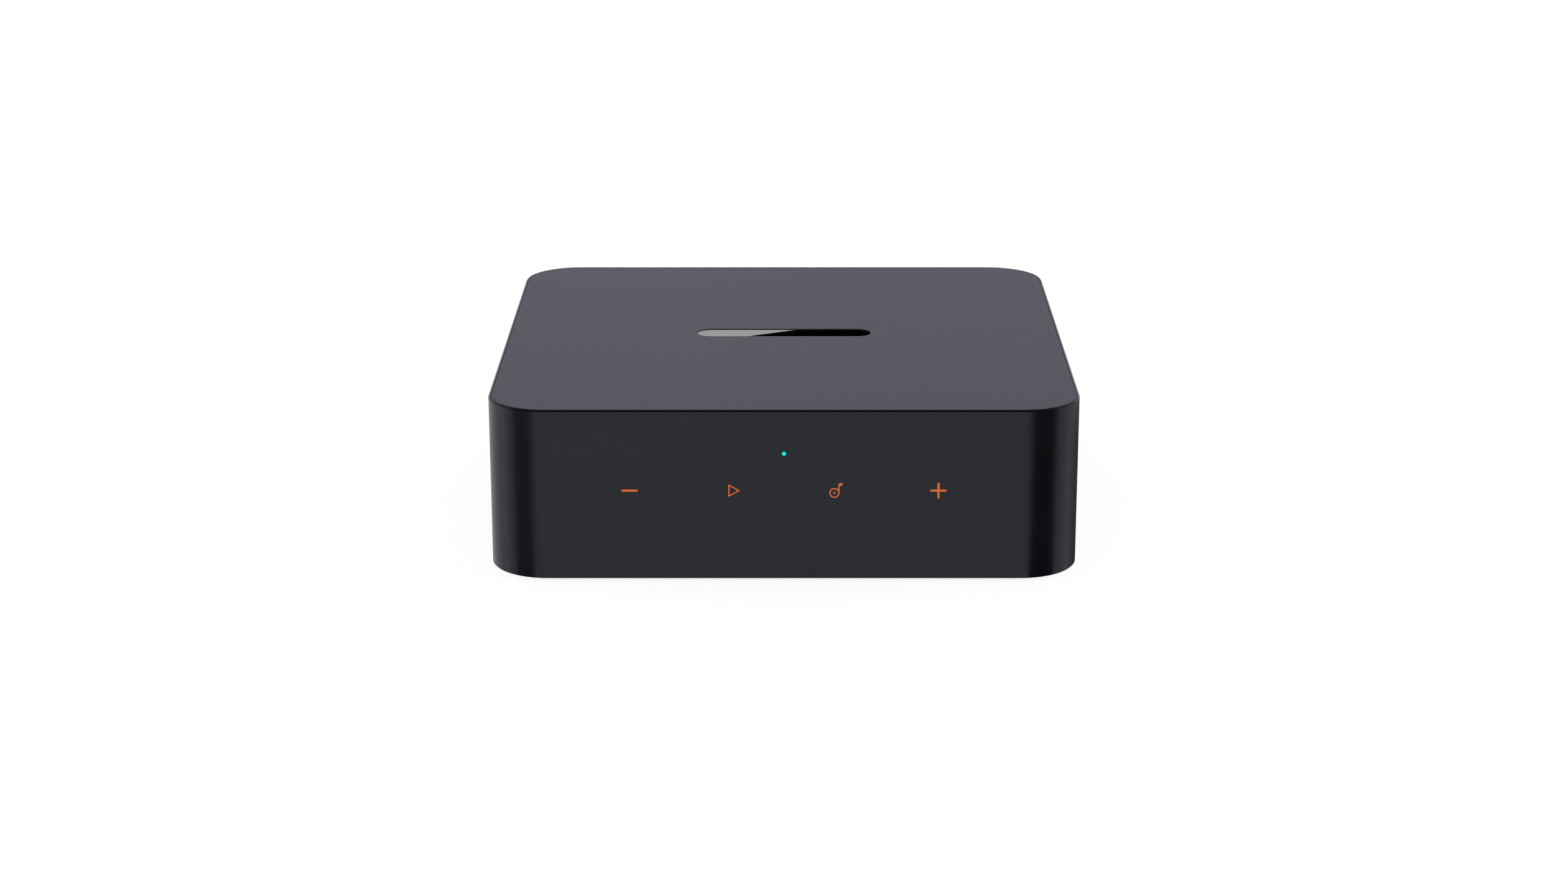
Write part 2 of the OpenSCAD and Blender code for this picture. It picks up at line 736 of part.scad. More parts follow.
module base_plate() {
    inset = 2 * (wall + base_gap);
    head_room = case_head_h + slip;
    lip_y = body_d / 2 - wall - base_gap - lip_t;
    lip_x = body_w / 2 - wall - base_gap - lip_t;
    sill_start = body_d / 2 - wall - base_gap - past;
    color("#161618") difference() {
        union() {
            round_slab(body_w - inset, body_d - inset, corner_r - inset / 2, z_body, base_t);
            // The sill that closes the rear pocket and window from below
            block(0, sill_start, z_body, panel_w, y_panel_out - slip - sill_start, base_t);
            block(0, sill_start, z_body, window_w - 2 * slip, y_rear - sill_start, base_t);
            block(0, -lip_y - lip_t, z_floor - past / 2, lip_run, lip_t, lip_h + past / 2);
            for (sx = [-1, 1])
                translate([sx * (lip_x + lip_t / 2) - lip_t / 2, -lip_run / 2, z_floor - past / 2])
                    cube([lip_t, lip_run, lip_h + past / 2]);
            at_standoffs() translate([0, 0, z_floor - past / 2])
                cylinder(r = standoff_r, h = standoff_h + past / 2);
        }
        round_slab(foot_side + 2 * slip, foot_side + 2 * slip, foot_r + slip, z_body - past,
            foot_sunk + past);
        at_bosses() {
            translate([0, 0, z_body - past]) cylinder(r = case_screw_r + slip, h = base_t + 2 * past);
            translate([0, 0, z_body - past]) cylinder(r = case_head_r + slip, h = head_room + past);
        }
        at_standoffs() translate([0, 0, z_floor + board_screw_short - slip])
            cylinder(r = board_screw_r + snug, h = standoff_h + past);
    }
}

module foot_pad() {
    pad_h = foot_proud + foot_sunk;
    ring_t = foot_r / 2;
    color("#232325") {
        outline_ring(foot_side, foot_side, foot_r)
            polygon([
                [-foot_chamfer, 0],
                [0, foot_chamfer],
                [0, pad_h],
                [-ring_t, pad_h],
                [-ring_t, 0],
            ]);
        round_slab(foot_side - ring_t, foot_side - ring_t, foot_r - ring_t / 2, 0, pad_h);
    }
}

module rear_panel() {
    color("#1a1a1c") difference() {
        block(0, y_panel_in, z_floor, panel_w, panel_t, z_panel_top - z_floor);
        for (x = [line_in_x, line_out_x], z = [z_low_jack, z_high_jack])
            panel_hole(x, z, phono_collar_r + slip);
        panel_hole(coax_x, z_low_jack, phono_collar_r + slip);
        for (x = PANEL_SCREW_XS) panel_hole(x, z_panel_screw, panel_screw_r + slip);
        for (x = [optical_out_x, optical_in_x]) panel_window(x, optical_w, optical_h);
        panel_hole(trigger_x, z_trigger, trigger_nose_r + slip);
        panel_window(lan_x, lan_w, lan_h);
        along_y(power_x, y_panel_in - past, z_power)
            linear_extrude(panel_t + 2 * past) power_outline(slip);
    }
}

// A round hole through the rear panel
module panel_hole(x, z, r) {
    along_y(x, y_panel_in - past, z) cylinder(r = r, h = panel_t + 2 * past);
}

// A square hole through the rear panel for a socket that stands on the main board
module panel_window(x, w, h) {
    block(x, y_panel_in - past, z_parts - slip, w + 2 * slip, panel_t + 2 * past, h + 2 * slip);
}

// Fasteners

module case_screws() {
    color("#2a2a2c") at_bosses() translate([0, 0, z_body + slip])
        screw(case_head_r, case_head_h, case_screw_r, case_screw_l - past);
}

module board_screws() {
    color("silver") at_standoffs() translate([0, 0, z_parts + board_head_h])
        rotate([180, 0, 0]) screw(board_head_r, board_head_h, board_screw_r, board_screw_l);
}

module panel_screws() {
    color("#2a2a2c") for (x = PANEL_SCREW_XS)
        along_y(x, y_panel_out + panel_head_h, z_panel_screw)
            rotate([180, 0, 0]) screw(panel_head_r, panel_head_h, panel_screw_r, panel_screw_l);
}

// Main board

module main_board() {
    color("darkgreen") difference() {
        translate([-board_w / 2, y_board_front, z_board]) cube([board_w, board_d, board_t]);
        at_standoffs() translate([0, 0, z_board - past])
            cylinder(r = board_screw_r + slip, h = board_t + 2 * past);
    }
}

// Phono jacks

module phono_block(x, axes, h) {
    collar_l = y_collar - y_panel_in;
    color("#141414") difference() {
        union() {
            block(x, y_panel_in - phono_d, z_parts, phono_w, phono_d, h);
            for (z = axes) along_y(x, y_panel_in - past, z)
                cylinder(r = phono_collar_r, h = collar_l + past);
        }
        for (z = axes) {
            along_y(x, y_sleeve_root, z) cylinder(r = sleeve_r + snug, h = sleeve_root + collar_l + past);
            along_y(x, y_insulator_root, z)
                cylinder(r = insulator_r + snug, h = insulator_root);
            along_y(x, y_panel_in - phono_d - past, z)
                cylinder(r = contact_rod_r + snug, h = phono_d);
        }
        along_y(x, y_panel_out - panel_screw_l, z_panel_screw)
            cylinder(r = panel_screw_r + snug, h = panel_screw_l + past);
    }
}

// A turned metal sleeve with a shoulder against the collar and a chamfered mouth
module phono_sleeve(x, z) {
    shoulder = y_collar - y_sleeve_root;
    mouth = y_mouth - y_sleeve_root;
    color("gainsboro") along_y(x, y_sleeve_root, z) rotate_extrude()
        polygon([
            [sleeve_r - sleeve_t, 0],
            [sleeve_r, 0],
            [sleeve_r, shoulder],
            [shoulder_r, shoulder],
            [shoulder_r, shoulder + shoulder_t],
            [sleeve_r, shoulder + shoulder_t],
            [sleeve_r, mouth - sleeve_chamfer],
            [sleeve_r - sleeve_chamfer, mouth],
            [sleeve_r - sleeve_t, mouth],
        ]);
}

// A moulded insulator, bored for the plug's pin and counterbored for the contact
module phono_insulator(x, z, tint) {
    face = y_mouth - insulator_sunk - y_insulator_root;
    color(tint) along_y(x, y_insulator_root, z) rotate_extrude()
        polygon([
            [contact_r + snug, 0],
            [insulator_r, 0],
            [insulator_r, face],
            [pin_hole_r, face],
            [pin_hole_r, contact_l + snug],
            [contact_r + snug, contact_l + snug],
        ]);
}

// A centre contact: tube, closed end, rod out of the block's rear and tail to the board
module phono_contact(x, z, tail_y) {
    rod_end = y_insulator_root + contact_end_t / 2;
    color("gold") {
        difference() {
            along_y(x, y_insulator_root, z) cylinder(r = contact_r, h = contact_l);
            along_y(x, y_insulator_root + contact_end_t, z)
                cylinder(r = pin_hole_r - contact_grip, h = contact_l);
        }
        along_y(x, tail_y, z) cylinder(r = contact_rod_r, h = rod_end - tail_y);
        block(x, tail_y, z_parts, tail_w, tail_t, z - z_parts);
    }
}

// The tail of jack number i in a stack, counted from the lowest
function tail_y(i) = y_panel_in - phono_d - snug - tail_t - i * tail_pitch;

module phono_stack_contacts(x) {
    phono_contact(x, z_low_jack, tail_y(0));
    phono_contact(x, z_high_jack, tail_y(1));
}

module phono_stack_sleeves(x) {
    for (z = [z_low_jack, z_high_jack]) phono_sleeve(x, z);
}

module phono_stack_block(x) {
    phono_block(x, [z_low_jack, z_high_jack], phono_axis + phono_pitch + phono_head);
}

// Optical sockets

// The plug opening seen from the rear, with its two lower corners cut
module optical_opening() {
    half = optical_open_w / 2;
    polygon([
        [-half, optical_key],
        [optical_key - half, 0],
        [half - optical_key, 0],
        [half, optical_key],
        [half, optical_open_h],
        [-half, optical_open_h],
    ]);
}

module optical_housing(x) {
    side_room = optical_cavity_w / 2 + shutter_pin_seat;
    element_room = element_side + 2 * snug;
    color("#111113") difference() {
        block(x, y_socket - optical_d, z_parts, optical_w, optical_d, optical_h);
        translate([x, y_socket + past, z_open]) rotate([90, 0, 0])
            linear_extrude(optical_frame_t + 2 * past) optical_opening();
        block(x, y_cavity_rear, z_cavity_floor, optical_cavity_w, optical_cavity_d,
            z_roof - z_cavity_floor);
        translate([x - side_room - snug, y_hinge, z_hinge]) rotate([0, 90, 0])
            cylinder(r = shutter_pin_r + shutter_pin_gap, h = 2 * (side_room + snug));
        along_y(x, y_socket - optical_d - past, z_guide) cylinder(r = guide_r, h = optical_d / 2);
        block(x, y_socket - optical_d - past, z_guide - element_room / 2, element_room,
            element_d + past, element_room);
    }
}

// A flap that hangs from its pin and closes the opening from behind
module optical_shutter(x) {
    flap_w = optical_cavity_w - 2 * shutter_side_gap;
    flap_z = z_cavity_floor + shutter_floor_gap;
    pin_l = optical_cavity_w + 2 * shutter_pin_seat;
    color("#202024") {
        translate([x - pin_l / 2, y_hinge, z_hinge]) rotate([0, 90, 0])
            cylinder(r = shutter_pin_r, h = pin_l);
        block(x, y_hinge - shutter_t / 2, flap_z, flap_w, shutter_t, z_hinge - flap_z);
    }
}

// A leaf spring: a foot flat on the roof and a blade that leans on the flap's back
module optical_spring(x) {
    foot_y = y_cavity_rear + 2 * snug;
    bend_y = foot_y + spring_foot;
    tip_y = y_hinge - shutter_t / 2 - snug;
    tip_z = z_open + optical_open_h + 2 * snug;
    foot_z = z_roof - spring_t - snug / 2;
    color("silver") translate([x - spring_w / 2, 0, 0]) rotate([90, 0, 90]) linear_extrude(spring_w)
        polygon([
            [foot_y, foot_z + spring_t],
            [foot_y, foot_z],
            [bend_y, foot_z],
            [tip_y, tip_z],
            [tip_y, tip_z + spring_t],
            [bend_y, foot_z + spring_t],
        ]);
}

// The light element: a package in the housing's rear pocket and three legs to the board
module optical_element(x, tint) {
    rear = y_socket - optical_d;
    color(tint) {
        block(x, rear, z_guide - element_side / 2, element_side, element_d, element_side);
        for (i = [-1, 0, 1])
            block(x + i * leg_pitch, rear - leg_t, z_parts, leg_w, leg_t, z_guide - z_parts);
    }
}

// Trigger jack

module trigger_jack_body() {
    rear = y_panel_in - trigger_d;
    nose_l = y_collar - y_panel_in;
    slot_w = trigger_bore_r / 2 + strip_t + 2 * snug;
    slot_x = trigger_bore_r / 2 + slot_w / 2;
    color("#141414") difference() {
        union() {
            block(trigger_x, rear, z_parts, trigger_w, trigger_d, trigger_h);
            along_y(trigger_x, y_panel_in - past, z_trigger)
                cylinder(r = trigger_nose_r, h = nose_l + past);
        }
        along_y(trigger_x, y_panel_in - trigger_bore_d, z_trigger)
            cylinder(r = trigger_bore_r, h = trigger_bore_d + nose_l + past);
        for (side = [-1, 1])
            block(trigger_x + side * slot_x, strip_y - snug, z_parts - past, slot_w,
                strip_w + 2 * snug, trigger_h / 2 + strip_w / 2 + past);
    }
}

module trigger_contacts() {
    strip_x = trigger_bore_r + strip_t / 2 + snug;
    color("gold") for (side = [-1, 1])
        block(trigger_x + side * strip_x, strip_y, z_parts, strip_t, strip_w,
            trigger_h / 2 + strip_w / 2 - snug);
}

// Network jack

// A folded sheet shield, open below and with a window in front
module lan_shield() {
    rear = y_socket - lan_d;
    color("silver") difference() {
        block(lan_x, rear, z_parts, lan_w, lan_d, lan_h);
        block(lan_x, rear + shield_t, z_parts - past, lan_w - 2 * shield_t, lan_d - 2 * shield_t,
            lan_h - shield_t + past);
        block(lan_x, y_socket - past, z_parts - past, lan_w - 2 * shield_rim, 2 * past,
            lan_h - shield_rim + past);
    }
}

module lan_body() {
    rear = y_socket - lan_d + shield_t + snug;
    color("#0f0f10") difference() {
        block(lan_x, rear, z_parts, lan_body_w, lan_body_front - rear, lan_h - shield_t - snug);
        block(lan_x, lan_body_front - lan_open_d, z_lan_open, lan_open_w, lan_open_d + past, lan_open_h);
        block(lan_x, lan_body_front - lan_open_d, z_lan_open - latch_h, latch_w, lan_open_d + past,
            latch_h + past);
        block(lan_x, lan_body_front - lan_open_d, z_lan_open - latch_h - latch_key_h, latch_key_w,
            lan_open_d + past, latch_key_h + past);
        for (side = [-1, 1])
            block(lan_x + side * lan_light_x, lan_body_front - light_d - snug, lan_light_z - snug,
                light_w + 2 * snug, light_d + past, light_h + 2 * snug);
    }
}

// Spring contacts: a run under the roof, a bend near the front and a blade that leans back
module lan_contacts() {
    top = z_lan_roof - snug;
    rear = lan_body_front - lan_open_d + 2 * snug;
    bend = lan_body_front - lan_wire_bend;
    tip = rear + lan_wire_tip;
    color("gold") for (i = [0:lan_ways - 1])
        translate([lan_x + (i - (lan_ways - 1) / 2) * lan_pitch - lan_wire_w / 2, 0, 0])
            rotate([90, 0, 90]) linear_extrude(lan_wire_w)
                polygon([
                    [rear, top],
                    [rear, top - lan_wire_t],
                    [bend - 2 * lan_wire_t, top - lan_wire_t],
                    [tip, top - lan_wire_drop],
                    [tip + lan_wire_t, top - lan_wire_drop - lan_wire_t],
                    [bend, top - lan_wire_t],
                    [bend, top],
                ]);
}

module lan_lights() {
    color("palegreen") for (side = [-1, 1])
        block(lan_x + side * lan_light_x, lan_body_front - light_d, lan_light_z, light_w, light_d, light_h);
}

// Power socket

module power_outline(grow) {
    pill(power_w + 2 * grow, power_h + 2 * grow);
}

module power_socket_shell() {
    color("silver") along_y(power_x, y_power - power_d, z_power) linear_extrude(power_d)
        difference() {
            power_outline(0);
            power_outline(-power_shell_t);
        }
}

module power_socket_tongue() {
    rear = y_power - power_d;
    color("#141414") {
        along_y(power_x, rear, z_power) linear_extrude(power_block_d)
            power_outline(-power_shell_t - snug);
        block(power_x, rear + power_block_d - past / 2, z_power - tongue_t / 2, tongue_w,
            tongue_l + past / 2, tongue_t);
    }
}

module power_socket_contacts() {
    start = y_power - power_d + power_block_d + 2 * snug;
    color("gold") for (i = [0:tongue_ways - 1], side = [-1, 1])
        block(power_x + (i - (tongue_ways - 1) / 2) * tongue_pitch, start,
            z_power + side * (tongue_t + tongue_pad_t) / 2 - tongue_pad_t / 2,
            tongue_pad_w, tongue_pad_l, tongue_pad_t);
}

// Touch board and status light

module touch_board() {
    color("darkgreen") difference() {
        block(0, y_touch, z_touch - touch_h / 2, touch_w, touch_t, touch_h);
        at_stakes(y_touch - past) cylinder(r = stake_r + slip, h = touch_t + 2 * past);
        along_y(0, y_touch - past, status_z) cylinder(r = status_root_r + slip, h = touch_t + 2 * past);
    }
}

module touch_pads() {
    color("peru") for (x = TOUCH_XS)
        along_y(x, y_front_in, touch_row_z) cylinder(r = touch_pad_r, h = touch_pad_t);
}

// A stepped light pipe: a lens flush with the front face and a wider root in the touch board
module status_light_pipe() {
    root_l = touch_pad_t + touch_t;
    color("aquamarine") {
        along_y(0, -body_d / 2, status_z) cylinder(r = status_r, h = wall + root_l / 2);
        along_y(0, y_front_in, status_z) cylinder(r = status_root_r, h = root_l);
    }
}

module status_lamp() {
    color("white") block(0, y_touch + touch_t, status_z - lamp_side / 2, lamp_side, lamp_t, lamp_side);
}

// Flat cable between the touch board and the main board

module flex_connectors() {
    w = flex_w + 2 * connector_side;
    color("ivory") {
        block(flex_x, y_touch + touch_t, z_connector, w, connector_h, connector_d);
        block(flex_x, y_board_front, z_parts, w, connector_d, connector_h);
    }
}

// A point on a cubic curve with the four control points p
function curve_point(p, t) =
    pow(1 - t, 3) * p[0] + 3 * t * pow(1 - t, 2) * p[1] + 3 * t * t * (1 - t) * p[2] + pow(t, 3) * p[3];

// The cable's centre line in y and z: down out of one connector and along into the other
FLEX_STEPS = 14;
flex_start = [y_touch + touch_t + connector_h / 2, z_connector - snug];
flex_end = [y_board_front - snug, z_parts + connector_h / 2];
flex_control = [
    flex_start,
    flex_start - [0, flex_dip],
    flex_end - [flex_level, 0],
    flex_end,
];
function flex_normal(t) =
    let (step = 0.001, a = curve_point(flex_control, t - step), b = curve_point(flex_control, t + step))
    [a[1] - b[1], b[0] - a[0]] / norm(b - a);
function flex_edge(side) = [
    for (i = [0:FLEX_STEPS])
        let (t = i / FLEX_STEPS)
        curve_point(flex_control, t) + side * flex_t / 2 * flex_normal(t)
];
function reversed(v) = [for (i = [len(v) - 1:-1:0]) v[i]];

module touch_flex() {
    color("whitesmoke") translate([flex_x - flex_w / 2, 0, 0]) rotate([90, 0, 90])
        linear_extrude(flex_w) polygon(concat(flex_edge(1), reversed(flex_edge(-1))));
}

// Streaming module

module module_headers() {
    color("#141414") for (side = [-1, 1])
        block(module_x + side * (module_side - header_w) / 2, module_y - can_side / 2, z_parts,
            header_w, can_side, header_h);
}

module module_board() {
    color("navy") block(module_x, module_y - module_side / 2, z_module, module_side, module_side, module_t);
}

module module_chips() {
    half = (processor_side + chip_gap + memory_w) / 2;
    color("#202020") {
        block(module_x - half + processor_side / 2, module_y - processor_side / 2, z_can,
            processor_side, processor_side, chip_h);
        block(module_x + half - memory_w / 2, module_y - memory_l / 2, z_can, memory_w, memory_l, chip_h);
    }
}

module module_shield() {
    inner = can_side - 2 * can_t;
    color("silver") difference() {
        block(module_x, module_y - can_side / 2, z_can, can_side, can_side, can_h);
        block(module_x, module_y - inner / 2, z_can - past, inner, inner, can_h - can_t + past);
    }
}

module thermal_pad() {
    color("lightsteelblue") block(module_x, module_y - pad_side / 2, z_pad, pad_side, pad_side, pad_t);
}

module heat_sink() {
    fin_pitch = (sink_side - sink_fin_t) / (sink_fins - 1);
    color("dimgray") {
        block(module_x, module_y - sink_side / 2, z_sink, sink_side, sink_side, sink_base);
        for (i = [0:sink_fins - 1])
            block(module_x + (i - (sink_fins - 1) / 2) * fin_pitch, module_y - sink_side / 2,
                z_sink + sink_base / 2, sink_fin_t, sink_side, sink_base / 2 + sink_fin_h);
    }
}

// Antennas

antenna_x = body_w / 2 - wall - antenna_t;
antenna_z = body_h - antenna_drop;
lead_z = z_module + module_t / 2;

module antenna_boards() {
    color("goldenrod") for (side = [-1, 1])
        block(side * (antenna_x + antenna_t / 2), -antenna_front - antenna_l / 2,
            antenna_z - antenna_h / 2, antenna_t, antenna_l, antenna_h);
}

// A lead down the inner face of an antenna board, round a bend and along to the module's edge
module antenna_lead(side) {
    drop_x = antenna_x - lead_r - 2 * snug;
    turn_x = drop_x - lead_bend;
    end_x = side * module_x + module_side / 2 + snug;
    mirror([side < 0 ? 1 : 0, 0, 0]) translate([0, -antenna_front, lead_z]) {
        translate([drop_x, 0, lead_bend]) cylinder(r = lead_r, h = antenna_z - lead_z - lead_bend);
        translate([turn_x, 0, lead_bend]) rotate([90, 90, 0])
            rotate_extrude(angle = 90) translate([lead_bend, 0]) circle(lead_r);
        translate([end_x, 0, 0]) rotate([0, 90, 0]) cylinder(r = lead_r, h = turn_x - end_x);
    }
}

module antenna_leads() {
    color("#101010") for (side = [-1, 1]) antenna_lead(side);
}

// Parts on the main board

converter_y = y_panel_in - phono_d - converter_front - converter_side;
cap_y = converter_y - cap_front - cap_r;

module converter_chips() {
    color("#202020") for (x = [line_out_x, coax_x])
        block(x, converter_y, z_parts, converter_side, converter_side, converter_h);
}

// Can capacitors on square feet
module filter_capacitors() {
    foot = 2 * (cap_r + cap_foot_rim);
    color("silver") for (i = [-1:2], j = [0:1])
        translate([coax_x + i * cap_pitch, cap_y - j * cap_pitch, z_parts]) {
            translate([0, 0, cap_foot_h / 2]) cylinder(r = cap_r, h = cap_h - cap_foot_h / 2);
            translate([-foot / 2, -foot / 2, 0]) cube([foot, foot, cap_foot_h]);
        }
}

module lan_transformer() {
    color("#202020") block(lan_x, y_socket - lan_d - transformer_gap - transformer_d, z_parts,
        transformer_w, transformer_d, transformer_h);
}

module power_inductors() {
    color("#3a3a3a") for (i = [1, 2])
        block(power_x, y_power - power_d - i * (inductor_gap + inductor_side), z_parts,
            inductor_side, inductor_side, inductor_h);
}

// Assembly

upper_housing();
top_plate();
mirror_inlay();
base_plate();
foot_pad();
rear_panel();
case_screws();
board_screws();
panel_screws();
main_board();
phono_stack_block(line_in_x);  // line_in_block
phono_stack_sleeves(line_in_x);  // line_in_sleeves
phono_insulator(line_in_x, z_high_jack, "white");  // line_in_white_insulator
phono_insulator(line_in_x, z_low_jack, "crimson");  // line_in_red_insulator
phono_stack_contacts(line_in_x);  // line_in_contacts
phono_stack_block(line_out_x);  // line_out_block
phono_stack_sleeves(line_out_x);  // line_out_sleeves
phono_insulator(line_out_x, z_high_jack, "white");  // line_out_white_insulator
phono_insulator(line_out_x, z_low_jack, "crimson");  // line_out_red_insulator
phono_stack_contacts(line_out_x);  // line_out_contacts
phono_block(coax_x, [z_low_jack], coax_block_h);  // coax_block
phono_sleeve(coax_x, z_low_jack);  // coax_sleeve
phono_insulator(coax_x, z_low_jack, "darkorange");  // coax_insulator
phono_contact(coax_x, z_low_jack, tail_y(0));  // coax_contact
optical_housing(optical_out_x);  // optical_out_housing
optical_shutter(optical_out_x);  // optical_out_shutter
optical_spring(optical_out_x);  // optical_out_spring
optical_element(optical_out_x, "firebrick");  // optical_out_emitter
optical_housing(optical_in_x);  // optical_in_housing
optical_shutter(optical_in_x);  // optical_in_shutter
optical_spring(optical_in_x);  // optical_in_spring
optical_element(optical_in_x, "#202020");  // optical_in_receiver
trigger_jack_body();
trigger_contacts();
lan_shield();
lan_body();
lan_contacts();
lan_lights();
power_socket_shell();
power_socket_tongue();
power_socket_contacts();
touch_board();
touch_pads();
status_light_pipe();
status_lamp();
flex_connectors();
touch_flex();
module_headers();
module_board();
module_chips();
module_shield();
thermal_pad();
heat_sink();
antenna_boards();
antenna_leads();
converter_chips();
filter_capacitors();
lan_transformer();
power_inductors();
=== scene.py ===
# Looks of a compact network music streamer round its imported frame: the moulded housing, the satin
# top plate with its polished inlay, the printed touch symbols, the status lens, the leaf springs of
# the optical sockets, the finish of every carried-over part, and a plain pale studio.
import json
import math

import bmesh
import bpy
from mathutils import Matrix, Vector


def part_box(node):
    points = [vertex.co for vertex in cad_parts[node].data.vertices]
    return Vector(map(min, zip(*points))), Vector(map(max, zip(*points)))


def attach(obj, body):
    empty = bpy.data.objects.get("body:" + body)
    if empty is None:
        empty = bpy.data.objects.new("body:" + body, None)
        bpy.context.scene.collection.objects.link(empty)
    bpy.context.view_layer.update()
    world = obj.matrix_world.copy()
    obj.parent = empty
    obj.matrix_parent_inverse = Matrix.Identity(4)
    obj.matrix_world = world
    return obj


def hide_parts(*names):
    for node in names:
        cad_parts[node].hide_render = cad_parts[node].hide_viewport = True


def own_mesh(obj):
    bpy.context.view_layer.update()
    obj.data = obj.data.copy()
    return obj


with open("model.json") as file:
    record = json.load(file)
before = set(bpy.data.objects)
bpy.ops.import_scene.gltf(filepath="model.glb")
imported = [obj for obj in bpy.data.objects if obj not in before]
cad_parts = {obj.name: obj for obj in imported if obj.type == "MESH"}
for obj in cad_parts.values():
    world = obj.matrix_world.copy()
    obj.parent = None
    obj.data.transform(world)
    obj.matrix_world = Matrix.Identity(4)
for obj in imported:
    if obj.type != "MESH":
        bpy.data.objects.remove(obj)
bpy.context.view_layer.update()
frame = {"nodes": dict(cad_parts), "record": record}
nodes = frame["nodes"]
scene = bpy.context.scene

# A millimetre in metres, which every length here is in
MM = 0.001

# Housing: corner radius in plan, wall and deck, chamfers of the upper and lower edge, the flat rim
# between the upper chamfer and the top plate, and the lip that holds the rear panel
CORNER_R = 14.25 * MM
WALL = 2.2 * MM
DECK = 1.8 * MM
EDGE_CHAMFER = 0.4 * MM
BOTTOM_CHAMFER = 0.25 * MM
RIM_FLAT = 0.15 * MM
PANEL_LIP = 1.2 * MM

# Screw bosses, placed from the outer faces: pilot hole, webs that start above the bosses' feet,
# and the base plate that the feet stand on
BOSS_INSET = 9.5 * MM
BOSS_R = 3.5 * MM
PILOT_R = 1.45 * MM
PILOT_L = 11 * MM
WEB_T = 1.4 * MM
WEB_RISE = 4 * MM
BASE_T = 2.4 * MM

# Posts through the touch board, placed from its edges, with melted heads
STAKE_INSET = 3.5 * MM
STAKE_R = 1.0 * MM
STAKE_HEAD_R = 1.7 * MM
STAKE_HEAD_T = 0.6 * MM

# Room round a fitted part and round a pressed part, how far a cutter runs past a face,
# and how far a joined solid sinks into one
SLIP = 0.1 * MM
SNUG = 0.05 * MM
PAST = 1.0 * MM
SINK = 0.5 * MM

# Small edge rounds, and their steps
PLATE_EDGE_R = 0.08 * MM
PLATE_EDGE_STEPS = 4
INLAY_EDGE_R = 0.12 * MM
INLAY_EDGE_STEPS = 6
PANEL_EDGE_R = 0.12 * MM

# Steps of the rounded corners, by quarter, and of whole circles
CORNER_STEPS = 40
INLAY_STEPS = 24
POCKET_STEPS = 16
ROUND_STEPS = 48
HOLE_STEPS = 32
DOT_STEPS = 24

# Status lens
LENS_R = 0.57 * MM
LENS_DOME = 0.1 * MM
DOME_STEPS = 5

# Optical sockets: the light element and its guide, and the leaf springs
EMITTER_SIDE = 5.0 * MM
GUIDE_R = 1.3 * MM
SPRING_T = 0.12 * MM
SPRING_FOOT = 2.6 * MM
SPRING_STEPS = 16

# Points nearer than this are one point, and edges turned more than this many degrees stay sharp
SAME_POINT = 1e-7
SHARP_TURN = 35

# Signs of the four quarters in plan, counter-clockwise
QUARTERS = ((1, 1), (-1, 1), (-1, -1), (1, -1))

# Places taken from the frame
housing_low, housing_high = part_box("upper_housing")
plate_low, plate_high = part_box("top_plate")
inlay_low, inlay_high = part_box("mirror_inlay")
panel_low, panel_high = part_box("rear_panel")
pads_low, pads_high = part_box("touch_pads")
pipe_low, pipe_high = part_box("status_light_pipe")
touch_low, touch_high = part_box("touch_board")
emitter_low, emitter_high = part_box("optical_out_emitter")
front_y = housing_low.y
lens_axis = (pipe_low + pipe_high) / 2
emitter_axis = Vector(((emitter_low.x + emitter_high.x) / 2, 0, emitter_high.z - EMITTER_SIDE / 2))

# Mesh helpers


def outline(half_x, half_y, radius, steps):
    """Points of a rounded rectangle with their outward directions, counter-clockwise."""
    points = []
    for quarter, (sx, sy) in enumerate(QUARTERS):
        centre = Vector((sx * (half_x - radius), sy * (half_y - radius), 0))
        for step in range(steps + 1):
            angle = math.radians(90) * (quarter + step / steps)
            out = Vector((math.cos(angle), math.sin(angle), 0))
            points.append((centre + radius * out, out))
    return points


def round_edge(radius, top, steps):
    """Section points (inset, height) of a rounded upper edge, from the side to the top."""
    turns = [math.radians(90) * step / steps for step in range(steps + 1)]
    return [(radius * (1 - math.cos(a)), top - radius * (1 - math.sin(a))) for a in turns]


def circle_points(a, b, radius, steps):
    """Points of a circle round a middle (a, b)."""
    turns = [2 * math.pi * step / steps for step in range(steps)]
    return [(a + radius * math.cos(t), b + radius * math.sin(t)) for t in turns]


def arc_points(x, z, radius, start, end, steps):
    """Points on an arc, with its angles in degrees."""
    turns = [math.radians(start + (end - start) * step / steps) for step in range(steps + 1)]
    return [(x + radius * math.cos(a), z + radius * math.sin(a)) for a in turns]


def loops_along(bm, points, section):
    """A closed loop of vertices round the outline for each (inset, height) of the section."""
    return [
        [bm.verts.new(p - inset * out + Vector((0, 0, height))) for p, out in points]
        for inset, height in section
    ]


def bridge(bm, loops):
    """Quads between neighbouring loops."""
    for a, b in zip(loops, loops[1:]):
        for i in range(len(a)):
            j = (i + 1) % len(a)
            bm.faces.new((a[i], a[j], b[j], b[i]))


def capped(bm, loops):
    """A solid through loops of vertices, closed at both ends."""
    bridge(bm, loops)
    bm.faces.new(loops[0])
    bm.faces.new(loops[-1])


def closed(bm, near, far):
    """A solid between two loops of points."""
    capped(bm, [[bm.verts.new(p) for p in loop] for loop in (near, far)])


def prism(bm, points, y_front, y_back):
    """A solid between two upright planes, from outline points (x, z) that run round once."""
    closed(bm, [(x, y_front, z) for x, z in points], [(x, y_back, z) for x, z in points])


def column(bm, points, low, high):
    """A solid between two heights, from outline points (x, y) that run round once."""
    closed(bm, [(x, y, low) for x, y in points], [(x, y, high) for x, y in points])


